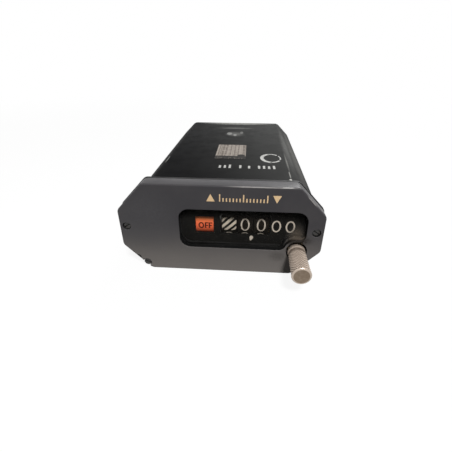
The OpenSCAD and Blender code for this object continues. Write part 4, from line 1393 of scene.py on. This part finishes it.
@dataclass
class Knob:
    """The setting knob: a thin neck, a plain collar, a groove, a diamond knurl that grows towards
    the front, and a chamfered end. Rows of end_turn say how far a point is below the full radius
    and behind the tip, those of end_face its radius and how far behind the tip, and those of a
    grime table the depths and the darkening there: dirt in the groove and on the knurl, and painted
    shade on the neck inside the bezel's hole."""

    at: Pair = (32.7, -8.45)
    radius: float = 3.95
    reach: float = 16.8
    collar_r: float = 3.7
    groove_r: float = 3.4
    neck_r: float = 2.9
    seat: float = 4.0
    bore_r: float = 2.02
    bore_end: float = 8.0
    diamonds_round: int = 24
    diamonds_along: int = 12
    knurl_depth: float = 0.26
    knurl_from: float = -2.4
    chamfer: float = 0.72
    end_turn: tuple[Pair, ...] = (
        (0.04, 0.62), (0.0, 0.55), (0.04, 0.4), (0.13, 0.25), (0.27, 0.12), (0.46, 0.04),
        (0.7, 0.0), (0.85, 0.02),
    )
    end_face: tuple[Pair, ...] = ((2.0, 0.06), (1.0, 0.09), (0.3, 0.1), (0.0, 0.1))
    # Darkening along the collar: dirt in the groove, and painted shade on the neck inside the
    # bezel's hole, where it reaches 1.
    collar_grime_and_shade: tuple[tuple[float, ...], ...] = ((-1.8, -1.6, -0.1, 0.2), (0.9, 0.1, 0.15, 1.0))
    knurl_grime: tuple[Pair, Pair] = ((-4.5, -3.6), (0.05, 0.85))
    end_grime: float = 0.1
    plain_height: float = 0.8
    steps: int = 288
    rows_each: int = 12

    def knurl(self) -> tuple[np.ndarray, np.ndarray]:
        """The knurled band, as radius and height of its diamonds.

        Two sets of grooves cross: with a counting diamonds round and b along, the height is
        the smaller of two triangle waves of a + b and of a - b. It fades out at both ends, and
        the radius that it is taken from grows evenly from the collar's to the knob's.

        Returns:
            Rows of radius and depth for each angle, and the heights from 0 to 1.
        """
        rows = self.diamonds_along * self.rows_each + 1
        along = np.linspace(0, 1, rows)[:, None]
        a = np.arange(self.steps)[None] / self.steps * self.diamonds_round
        b = along * self.diamonds_along
        first, second = (1 - np.abs(2 * np.mod(phase, 1) - 1) for phase in (a + b, a - b))
        height = np.minimum(1.25 * np.minimum(first, second), 1)
        ends = np.clip(np.minimum(along, 1 - along) * 40, 0, 1)
        full = self.collar_r + (self.radius - self.collar_r) * along
        radius = full - self.knurl_depth * (1 - height * ends)
        start, stop = self.knurl_from, self.chamfer - self.reach
        depth = np.broadcast_to(start + (stop - start) * along, radius.shape)
        return np.stack([radius, depth], axis=-1), height * ends

    def build(self) -> None:
        """Turns the knob in one shell: bore, collar, groove, knurl, chamfer and end face."""
        band, height = self.knurl()
        tip = -self.reach
        collar = np.array([
            [0, -self.bore_end], [self.bore_r, -self.bore_end], [self.bore_r, self.seat],
            [self.neck_r, self.seat], [self.neck_r, -0.02], [self.collar_r - 0.12, -0.02],
            [self.collar_r, -0.14], [self.collar_r, -1.6], [self.collar_r - 0.06, -1.72],
            [self.groove_r, -1.86], [self.groove_r, -2.25],
            [self.collar_r - self.knurl_depth, -2.38],
        ])
        end = np.array([
            [self.radius - self.knurl_depth, tip + 0.7],
            *([self.radius - less, tip + behind] for less, behind in self.end_turn),
            *([radius, tip + behind] for radius, behind in self.end_face),
        ])
        profile = np.concatenate([all_round(collar, self.steps), band, all_round(end, self.steps)])
        grime = np.concatenate([
            np.interp(collar[:, 1], *self.collar_grime_and_shade),
            np.interp(band[:, 0, 1], *self.knurl_grime), np.full(len(end), self.end_grime),
        ])
        collar_height, end_height = (
            np.full((len(rows), self.steps), self.plain_height) for rows in (collar, end)
        )
        smooth = np.zeros(len(profile))
        smooth[-len(end) + 1:] = 0.5
        smooth[-len(self.end_face) - 1:] = 1
        shell = Shell()
        shell.lathe(
            self.at, profile, height=np.concatenate([collar_height, height, end_height]),
            grime=np.repeat(grime, self.steps), end=np.repeat(smooth, self.steps),
        )
        piece = shell.build("setting_knob", KNOB_METAL, "knob", "knob_metal", crease=50)
        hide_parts("knob")


def figure_lines(figure: int) -> list[np.ndarray]:
    """Middle lines of a plain figure, in a box from -0.5 to 0.5 each way.

    Args:
        figure: 0 to 9.

    Returns:
        One row of points for each line of the figure.
    """
    six = [
        arc((0, -0.2), (0.5, 0.3), 0, 360, 40),
        arc((0.36, -0.2), (0.86, 0.7), 180, 98, 16),
    ]
    shapes = {
        0: [arc((0, 0), 0.5, 0, 360, 56)],
        1: [np.array([[-0.28, 0.24], [0.06, 0.5], [0.06, -0.5]])],
        2: [np.vstack([arc((0, 0.21), (0.48, 0.29), 168, -38, 24), [[-0.5, -0.5], [0.5, -0.5]]])],
        3: [arc((-0.04, 0.25), (0.43, 0.25), 155, -90, 24),
            arc((-0.02, -0.24), (0.5, 0.26), 90, -150, 24)],
        4: [np.array([[0.5, -0.2], [-0.5, -0.2], [0.2, 0.5], [0.2, -0.5]])],
        5: [np.vstack([[[0.42, 0.5], [-0.36, 0.5], [-0.4, 0.08]],
                       arc((-0.02, -0.17), (0.5, 0.33), 120, -150, 26)])],
        6: six,
        7: [np.array([[-0.5, 0.5], [0.5, 0.5], [-0.15, -0.5]])],
        8: [arc((0, 0.26), (0.4, 0.24), 0, 360, 36), arc((0, -0.24), (0.5, 0.26), 0, 360, 40)],
        9: [-line for line in six],
    }
    return shapes[figure]


@dataclass(frozen=True)
class Flat:
    """A flat face of the part that carries print: x and z are kept, at one depth."""

    depth: float

    def lay(self, points: np.ndarray) -> np.ndarray:
        """Puts rows of x and z on the face."""
        return np.column_stack([points[:, 0], np.full(len(points), self.depth), points[:, 1]])


@dataclass(frozen=True)
class Round:
    """A drum or curved flag that carries print: z is wrapped round an axis along x. A point's
    angle is its z over the radius, and depth and height are the axis less and plus the radius
    times the cosine and the sine of the angle."""

    depth: float
    height: float
    radius: float
    turned: float = 0.0

    def lay(self, points: np.ndarray) -> np.ndarray:
        """Wraps points round the axis.

        Args:
            points: Rows of x and arc length.

        Returns:
            Rows of x, depth and z.
        """
        angle = math.radians(self.turned) + points[:, 1] / self.radius
        depth = self.depth - self.radius * np.cos(angle)
        return np.column_stack([points[:, 0], depth, self.height + self.radius * np.sin(angle)])


@dataclass(frozen=True)
class Level:
    """The top of the case: x and depth are given, at one height."""

    height: float

    def lay(self, points: np.ndarray) -> np.ndarray:
        """Puts rows of x and depth on the top."""
        return np.column_stack([points, np.full(len(points), self.height)])


Ground = Union[Flat, Round, Level]
# A printed line's longest step in millimetres, its cap over its width, and its most stretch
# at a bend.
LINE_STEP, LINE_CAP, MITRE_MOST = 0.45, 0.35, 1.6


def ribbon(shell: Shell, line: np.ndarray, width: float, ground: Ground) -> None:
    """Adds a printed line of one width, as a row of quads on its ground.

    The two sides are the line moved by half the width along the mean of its edges' normals,
    lengthened at a bend by one over the cosine of half the bend, up to 1.6 times.

    Args:
        shell: Where the line is added.
        line: Rows of points on the ground.
        width: Width of the line.
        ground: The face it is printed on.
    """
    closed = np.allclose(line[0], line[-1])
    if not closed:
        ends = line[[0, -1]] + LINE_CAP * width * np.array([
            (line[0] - line[1]) / np.linalg.norm(line[0] - line[1]),
            (line[-1] - line[-2]) / np.linalg.norm(line[-1] - line[-2]),
        ])
        line = np.vstack([ends[:1], line[1:-1], ends[1:]])
    line = spaced(line, LINE_STEP)
    edge = np.diff(line, axis=0)
    edge /= np.linalg.norm(edge, axis=1, keepdims=True)
    normal = np.column_stack([-edge[:, 1], edge[:, 0]])
    before = np.vstack([normal[-1:] if closed else normal[:1], normal])
    after = np.vstack([normal, normal[:1] if closed else normal[-1:]])
    mean = before + after
    mean /= np.linalg.norm(mean, axis=1, keepdims=True)
    stretch = np.minimum(1 / np.maximum(np.sum(mean * after, axis=1), 0.1), MITRE_MOST)
    side = mean * stretch[:, None] * width / 2
    points = np.stack([ground.lay(line + side), ground.lay(line - side)])
    shell.grid(points, wrap=False)


@dataclass
class Figures:
    """The printed figures: the three drums, two painted noughts, the comma and the flag's word.
    Of the word's letters after the round one, letter_lines are the lines in a unit box."""

    drums: tuple[tuple[str, str, float], ...] = (
        ("ten_thousands_drum", "ten_thousands_figures", 3.5),
        ("thousands_drum", "thousands_figures", 10.46),
        ("hundreds_drum", "hundreds_figures", 17.42),
    )
    drum_axis: Pair = (17.5, 0.9)
    drum_r: float = 12.02
    size: Pair = (3.85, 6.4)
    stroke: float = 0.62
    one_share: float = 0.9
    lean_deg: float = -1.7
    mask_front: float = 4.6
    painted_x: Pair = (23.8, 29.75)
    painted_z: float = 0.9
    painted_size: Pair = (3.95, 5.7)
    hatch_size: Pair = (6.2, 6.4)
    hatch_r: float = 1.6
    hatch_turn_deg: float = 0.6
    hatch_steps: int = 28
    flag_axis: Pair = (14.0, 0.5)
    flag_r: float = 8.42
    word_turned: float = -6.5
    word_x: Vec = (-8.72, -6.36, -4.66)
    word_h: float = 3.2
    word_stroke: float = 0.56
    round_half_w: float = 0.95
    letter_w: float = 1.15
    letter_lines: tuple[tuple[Pair, ...], ...] = (
        ((-0.45, -0.5), (-0.45, 0.5), (0.5, 0.5)), ((-0.45, 0.03), (0.32, 0.03)),
    )
    comma_at: Pair = (13.35, -5.05)
    comma_r: float = 0.82
    comma_tail: Pair = (0.12, 0.75)
    comma_tail_deg: float = 258.0
    comma_grid: tuple[int, int] = (7, 49)

    def write(self, shell: Shell, figure: int, x: float, z: float, size: Pair,
              ground: Ground) -> None:
        """Adds one figure.

        Args:
            shell: Where its lines are added.
            figure: 0 to 9.
            x: Place of its middle across.
            z: Place of its middle up.
            size: Its width and height over all.
            ground: The face it is printed on.
        """
        scale = np.array(size) - self.stroke
        if figure == 1:
            scale = scale * [self.one_share, 1]
        for line in figure_lines(figure):
            ribbon(shell, line * scale + [x, z], self.stroke, ground)

    def hatch_patch(self, ground: Ground) -> None:
        """Makes the hatched nought of the first drum: a grid over a square, whose outer parts
        are pulled in to round its corners, with a UV map in millimetres for its stripes.

        Args:
            ground: The drum's face, turned to the nought's place.
        """
        w, h = self.hatch_size
        steps = self.hatch_steps
        u, v = np.meshgrid(np.linspace(-1, 1, steps), np.linspace(-1, 1, steps))
        corner_x, corner_z = 1 - 2 * self.hatch_r / w, 1 - 2 * self.hatch_r / h
        over_x = np.maximum(np.abs(u) - corner_x, 0) / (1 - corner_x)
        over_z = np.maximum(np.abs(v) - corner_z, 0) / (1 - corner_z)
        reach = np.maximum(np.hypot(over_x, over_z), 1e-9)
        pull = np.maximum(over_x, over_z) / reach
        x = np.sign(u) * (np.minimum(np.abs(u), corner_x) + over_x * pull * (1 - corner_x)) * w / 2
        z = np.sign(v) * (np.minimum(np.abs(v), corner_z) + over_z * pull * (1 - corner_z)) * h / 2
        places = np.column_stack([x.ravel(), z.ravel()])
        body, _, middle = self.drums[0]
        shell = Shell()
        points = ground.lay(places + [middle, 0]).reshape(steps, steps, 3)
        shell.grid(points[:, ::-1], wrap=False)
        uv = places.reshape(steps, steps, 2)[:, ::-1].reshape(-1, 2)
        shell.build("hatched_nought", HATCH, body, "drum_black", outward=False, uv=uv)

    def build(self) -> None:
        """Makes the print of each drum, of the dial mask and of the flag."""
        depth, height = self.drum_axis
        for index, (body, name, x) in enumerate(self.drums):
            shell = Shell()
            for figure in range(1 if index == 0 else 0, 10):
                ground = Round(depth, height, self.drum_r, self.lean_deg + 36 * figure)
                self.write(shell, figure, x, 0, self.size, ground)
            shell.build(name, DRUM_INK, body, "drum_black", outward=False)
        self.hatch_patch(Round(depth, height, self.drum_r, self.lean_deg + self.hatch_turn_deg))

        mask = Shell()
        face = Flat(self.mask_front - 0.02)
        for x in self.painted_x:
            self.write(mask, 0, x, self.painted_z, self.painted_size, face)
        self.comma(mask, face)
        mask.build("painted_noughts", DRUM_INK, "case", "dial_black", outward=False)

        word = Shell()
        band = Round(*self.flag_axis, self.flag_r, self.word_turned)
        stroke = self.word_stroke
        tall = self.word_h - stroke
        first, *others = self.word_x
        ribbon(word, arc((first, 0), (self.round_half_w, tall / 2), 0, 360, 40), stroke, band)
        for x in others:
            for line in self.letter_lines:
                ribbon(word, np.array(line) * [self.letter_w, tall] + [x, 0], stroke, band)
        word.build("flag_word", FLAG_INK, "flag", "flag_orange", outward=False)

    def comma(self, shell: Shell, ground: Ground) -> None:
        """Adds the comma between the thousands and the hundreds: a round dot that is pulled
        out into a tail, by the fourth power of the cosine of the angle from the tail.

        Args:
            shell: Where it is added.
            ground: The face it is printed on.
        """
        rows, columns = self.comma_grid
        turn = np.linspace(0, 2 * np.pi, columns)
        out = np.linspace(0, 1, rows)[:, None]
        tail = np.clip(np.cos(turn - math.radians(self.comma_tail_deg)), 0, 1) ** 4
        dot = self.comma_r * np.column_stack([np.cos(turn), np.sin(turn)])
        rim = dot - tail[:, None] * self.comma_tail
        places = (out[..., None] * rim[None]).reshape(-1, 2) + self.comma_at
        shell.grid(ground.lay(places).reshape(rows, columns, 3)[:, ::-1], wrap=False)


@dataclass
class ScaleMark:
    """A cream mark above the window: two arrowheads that point up and down, with plain ticks
    between them."""

    left: float = -5.4
    right: float = 24.3
    low: float = 13.95
    high: float = 17.2
    head_half: float = 1.7
    ticks: int = 15
    tick_from: float = 5.4
    tick_w: float = 0.5
    tick_gap: float = 0.2
    long_each: int = 7

    def build(self) -> None:
        """Makes the arrowheads and the ticks in one thin piece on the bezel's face."""
        shell = Shell()
        face = Flat(-0.01)
        middle = (self.low + self.high) / 2
        tall = self.high - self.low
        half = self.head_half
        head = np.array([[-half, -tall / 2], [half, -tall / 2], [0, tall / 2]])
        for x, sign in ((self.left + half, 1), (self.right - half, -1)):
            shell.add(face.lay(head * sign + [x, middle]), np.array([[0, 1, 2]]))
        first, last, gap = self.left + self.tick_from, self.right - self.tick_from, self.tick_gap
        for k, x in enumerate(np.linspace(first, last, self.ticks)):
            reach = tall if k % self.long_each == 0 else tall / 2
            tick = np.array([[x, self.low + gap], [x, self.low + reach - gap]])
            ribbon(shell, tick, self.tick_w, face)
        shell.build("scale_mark", MARK_INK, "case", "bezel_paint", outward=False)


@dataclass
class TopMarks:
    """What is stuck and stamped on top of the case: a worn paper label, a plain oval ring and
    a row of plain ink bars. Rows of oval_arcs are first and last angle and width; rag is how
    far the label's front edge steps back, always and at one place in five."""

    top: float = 20.35
    label_low: Pair = (-5.7, 34.4)
    label_high: Pair = (9.4, 60.2)
    label_t: float = 0.1
    label_lift: float = 0.005
    label_grid: tuple[int, int] = (90, 60)
    label_seed: int = 7
    rag: Pair = (0.6, 1.4)
    rag_from: float = 0.8
    oval_at: Pair = (21.9, 37.7)
    oval_r: Pair = (4.5, 6.3)
    oval_arcs: tuple[Vec, ...] = (
        (110.0, 262.0, 1.7), (266.0, 322.0, 1.0), (52.0, 104.0, 1.0), (-20.0, 34.0, 0.6),
    )
    ink_lift: float = 0.015
    row_x: Pair = (-2.0, 23.0)
    row_depth: float = 22.3
    bars: tuple[float, ...] = (0.0, 0.09, 0.18, 0.37, 0.53, 0.71, 0.8, 0.89, 0.98)
    bar_w: float = 1.0
    bar_h: Pair = (2.6, 1.4)
    bar_seed: int = 3

    def label(self) -> None:
        """Makes the label: a flat sheet, a grid of width and length in two layers, one
        thickness apart. Its front edge's place is a smoothed row of random steps."""
        chance = np.random.default_rng(self.label_seed)
        columns, rows = self.label_grid
        always, rare = self.rag
        ragged = always * chance.random(columns) + rare * (chance.random(columns) > self.rag_from)
        ragged = np.convolve(np.pad(ragged, 1, mode="edge"), [0.25, 0.5, 0.25], "valid")
        x = np.linspace(self.label_low[0], self.label_high[0], columns)
        share = np.linspace(0, 1, rows)[:, None]
        start = self.label_low[1] + ragged
        depth = start + (self.label_high[1] - start) * share
        height = np.full(depth.shape, self.top + self.label_lift)
        lower = np.stack([np.broadcast_to(x, depth.shape), depth, height], axis=-1)
        upper = lower + [0, 0, self.label_t]
        rims = (
            (lower[0], upper[0]), (upper[-1], lower[-1]),
            (upper[:, 0], lower[:, 0]), (lower[:, -1], upper[:, -1]),
        )
        shell = Shell()
        for sheet in (upper, lower[::-1], *map(np.stack, rims)):
            shell.grid(sheet, wrap=False)
        shell.build("paper_label", LABEL_PAPER, "case", "case_black")

    def build(self) -> None:
        """Makes the label, the ring and the bars."""
        self.label()
        ink = Shell()
        ground = Level(self.top + self.ink_lift)
        for first, last, width in self.oval_arcs:
            ribbon(ink, arc(self.oval_at, self.oval_r, first, last, 48), width, ground)
        first, last = self.row_x
        short, more = self.bar_h
        chance = np.random.default_rng(self.bar_seed)
        for share in self.bars:
            x = first + (last - first) * share
            far = self.row_depth + (short + more * chance.random())
            ribbon(ink, np.array([[x, far], [x, self.row_depth]]), self.bar_w, ground)
        ink.build("stamped_marks", STAMP_INK, "case", "case_black", outward=False)


@dataclass
class Receptacle:
    """The circular receptacle on the back: a square flange, a threaded barrel with keyways
    inside, and four slotted screws."""

    drop: float = -0.15
    back: float = 120.5
    flange: float = 31.0
    flange_t: float = 2.0
    flange_r: float = 2.0
    flange_edge_r: float = 0.35
    barrel_r: float = 12.7
    inner_r: float = 11.5
    neck_r: float = 12.0
    mouth: float = 135.0
    tail: float = 114.0
    thread_pitch: float = 1.6
    thread_depth: float = 0.45
    thread_rows: int = 110
    keys_deg: tuple[float, ...] = (90.0, 155.0, 200.0, 300.0, 20.0)
    key_half: tuple[float, ...] = (0.11, 0.07, 0.07, 0.07, 0.07)
    key_depth: float = 0.65
    key_end: Pair = (5.2, 5.0)
    steps: int = 192
    screw_at: float = 12.0
    screw_r: float = 1.9
    screw_h: float = 1.0
    shank_r: float = 1.2
    shank_end: float = 116.4
    dome_r: tuple[float, ...] = (1.0, 1.0, 0.93, 0.8, 0.6, 0.4, 0.2, 0.0)
    dome_h: tuple[float, ...] = (0.0, 0.55, 0.8, 0.93, 1.0, 1.0, 1.0, 1.0)
    slot_half: float = 0.28
    slot_depth: float = 0.45
    slot_turn: Pair = (0.6, 0.3)
    screw_steps: int = 48

    def barrel(self, shell: Shell) -> None:
        """Adds the barrel. Outside, its radius dips with a triangle wave of the depth and of
        the turn, which is the thread; inside, five keyways are cut where the angle is near
        theirs.

        Args:
            shell: Where it is added.
        """
        steps = self.steps
        angle = angles(steps)
        front = self.back + self.flange_t
        depth = np.linspace(front + 1.5, self.mouth - 0.8, self.thread_rows)[:, None]
        phase = np.mod(depth / self.thread_pitch - angle / (2 * np.pi), 1)
        fade = np.clip(np.minimum(depth - depth[0], depth[-1] - depth) / 0.8, 0, 1)
        threaded = self.barrel_r - self.thread_depth * fade * (1 - np.abs(2 * phase - 1))
        outer = np.stack([threaded, np.broadcast_to(depth, threaded.shape)], axis=-1)
        apart = np.abs(np.angle(np.exp(1j * (angle[:, None] - np.radians(self.keys_deg)))))
        widths = np.array(self.key_half)
        cut = np.clip((widths * 1.3 - apart) / (widths * 0.3), 0, 1).max(axis=1)
        deep, flat = self.back + np.array(self.key_end)
        inside = np.array([
            [self.mouth - 0.1, 0.25, 1], [self.mouth - 0.4, 0, 1], [deep, 0, 1],
            [flat, 0, 0], [self.tail, 0, 0],
        ])
        depth, flare, keyed = inside.T[..., None]
        opened = self.inner_r + (flare + self.key_depth * cut * keyed)
        inner = np.stack([opened, np.broadcast_to(depth, opened.shape)], axis=-1)
        neck = [[self.neck_r, self.tail], [self.neck_r, self.back], [self.neck_r, front - 0.01],
                [self.barrel_r, front], [self.barrel_r, front + 1.4]]
        lip = [[self.barrel_r, self.mouth - 0.5], [self.barrel_r - 0.12, self.mouth - 0.15],
               [self.barrel_r - 0.35, self.mouth]]
        shell.lathe((0, self.drop), np.concatenate([
            all_round(neck, steps), outer, all_round(lip, steps), inner,
            all_round(neck[:1], steps),
        ]))

    def screws(self, shell: Shell) -> None:
        """Adds the four screws: a low domed head, whose middle strip drops to make the slot,
        and a plain shank.

        Args:
            shell: Where they are added.
        """
        front = self.back + self.flange_t
        steps = self.screw_steps
        radii = self.screw_r * np.array(self.dome_r)[:, None]
        heights = self.screw_h * np.array(self.dome_h)[:, None]
        by_x, by_z = self.slot_turn
        rows = [[0, self.shank_end], [self.shank_r, self.shank_end], [self.shank_r, front]]
        for x, z in CORNERS:
            middle = (x * self.screw_at, self.drop + z * self.screw_at)
            slot = np.abs(radii * np.sin(angles(steps) + by_x * x + by_z * z)) < self.slot_half
            depth = front + heights - self.slot_depth * slot * (heights > 0.5)
            head = np.stack([np.broadcast_to(radii, depth.shape), depth], axis=-1)
            shell.lathe(middle, np.concatenate([all_round(rows, steps), head]))

    def build(self) -> None:
        """Makes the flange, the barrel and the screws and puts them for the CAD shell."""
        half, front = self.flange / 2, self.back + self.flange_t
        plate = rounded_box(-half, half, self.drop - half, self.drop + half, self.flange_r)
        hole = ring((0, self.drop), self.neck_r + 0.02, 96)
        edge = round_edge(self.flange_edge_r)[::-1] * [1, -1, 1] + [0, front, 0]
        flange = Shell()
        flange.carry(plate, np.vstack([[[0.1, self.back, 0], [0, self.back + 0.1, 0]], edge]))
        flange.flat(self.back, inset(plate, 0.1), hole)
        flange.wall(hole, self.back, front)
        flange.flat(front, inset(plate, edge[-1, 0]), hole)
        alloy = SLOT_FINISHES["connector_alloy"]
        piece = flange.build("receptacle_flange", alloy, "case", "connector_alloy")
        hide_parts("connector_shell")
        barrel = Shell()
        self.barrel(barrel)
        barrel.build("receptacle_barrel", alloy, "case", "connector_alloy")
        screws = Shell()
        self.screws(screws)
        screws.build("receptacle_screws", SLOT_FINISHES["bright_steel"], "case", "connector_alloy")


@dataclass(frozen=True)
class SoftLamp:
    """A large square lamp with an even glow."""

    name: str
    place: Vec
    size: float
    power: float
    hidden: bool = False
    target: Vec = (0.0, 0.0, 0.02)

    def build(self) -> None:
        """Hangs the lamp at its place and turns it to its target."""
        data = bpy.data.lights.new(self.name, "AREA")
        data.shape, data.size, data.energy = "SQUARE", self.size, self.power
        lamp = put(self.name, data)
        lamp.visible_camera = not self.hidden
        lamp.location = self.place
        away = Vector(self.place) - Vector(self.target)
        lamp.rotation_euler = away.to_track_quat("Z", "Y").to_euler()


@dataclass
class Studio:
    """A white floor and surround, soft lamps and the photograph's camera."""

    camera_at: Vec = (0.01045, -0.16816, 0.08669)
    lens: float = 24.21
    sensor: float = 36.0
    clip: Pair = (0.005, 20.0)
    yaw: float = -3.954
    pitch: float = -30.078
    roll: float = 0.19
    shift: Pair = (-0.002, 0.0008)
    floor_half: float = 3.0
    floor_z: float = -1e-5
    ambient: float = 0.07
    lamps: tuple[SoftLamp, ...] = (
        SoftLamp("key", (0.11, -0.5, 0.62), 0.12, 7.2),
        SoftLamp("fill", (-0.6, -0.3, 0.45), 0.6, 0.6),
        SoftLamp("top", (0.15, 0.3, 0.7), 0.5, 0.7),
        SoftLamp("rim", (0.36, 0.83, 0.6), 0.4, 5.8, hidden=True),
    )

    def floor(self) -> None:
        """Lays the floor, one large square just below the object."""
        half, low = self.floor_half, self.floor_z
        corners = [(-half, -half, low), (half, -half, low), (half, half, low), (-half, half, low)]
        mesh = bpy.data.meshes.new("floor")
        mesh.from_pydata(corners, [], [(0, 1, 2, 3)])
        mesh.materials.append(WhiteFloor("white_floor").material())
        floor = put("floor", mesh)

    def surround(self) -> None:
        """Sets the world: white where it is seen, and a soft even light elsewhere."""
        world = bpy.data.worlds.new("surround")
        world.use_nodes = True
        bpy.context.scene.world = world
        graph = Graph(world.node_tree)
        strength = self.ambient + (1 - self.ambient) * graph.seen()
        sockets = {"Color": (1.0, 1.0, 1.0), "Strength": strength}
        glow = graph.node("ShaderNodeBackground", None, sockets)
        graph.end(glow, "ShaderNodeOutputWorld")

    def camera(self) -> None:
        """Places the camera: its axes come from its yaw, pitch and roll."""
        yaw, pitch, roll = (math.radians(a) for a in (self.yaw, self.pitch, self.roll))
        level = math.cos(pitch)
        forward = Vector((math.sin(yaw) * level, math.cos(yaw) * level, math.sin(pitch)))
        right = Vector((math.cos(yaw), -math.sin(yaw), 0))
        up = right.cross(forward)
        side = right * math.cos(roll) + up * math.sin(roll)
        top = up * math.cos(roll) - right * math.sin(roll)
        turn = Matrix((side, top, -forward)).transposed().to_4x4()
        data = bpy.data.cameras.new("camera")
        data.sensor_width, data.lens = self.sensor, self.lens
        data.shift_x, data.shift_y = self.shift
        data.clip_start, data.clip_end = self.clip
        camera = put("camera", data)
        camera.matrix_world = Matrix.Translation(self.camera_at) @ turn
        bpy.context.scene.camera = camera

    def build(self) -> None:
        """Makes the floor, the surround, the lamps and the camera."""
        self.floor()
        self.surround()
        self.camera()
        for lamp in self.lamps:
            lamp.build()
        bpy.context.scene.view_settings.view_transform = "Standard"


def dress_nodes() -> None:
    """Gives each CAD node that is still shown its own finish, or that of its material slot."""
    for row in frame["record"]["subparts"]:
        node = frame["nodes"][row["node"]]
        finish = NODE_FINISHES.get(row["node"], SLOT_FINISHES[row["material_slot"]])
        node.data.materials.clear()
        node.data.materials.append(finish.material())
        log.info("%s: %s", row["node"], finish.name)


def main() -> None:
    """Builds the studio and every piece in order."""
    logging.basicConfig(level=logging.INFO, format="%(name)s: %(message)s")
    dress_nodes()
    parts = (Studio(), Bezel(), Case(), Knob(), Figures(), ScaleMark(), TopMarks(), Receptacle())
    for part in parts:
        part.build()
        log.info("%s done", type(part).__name__)


if __name__ == "__main__":
    main()
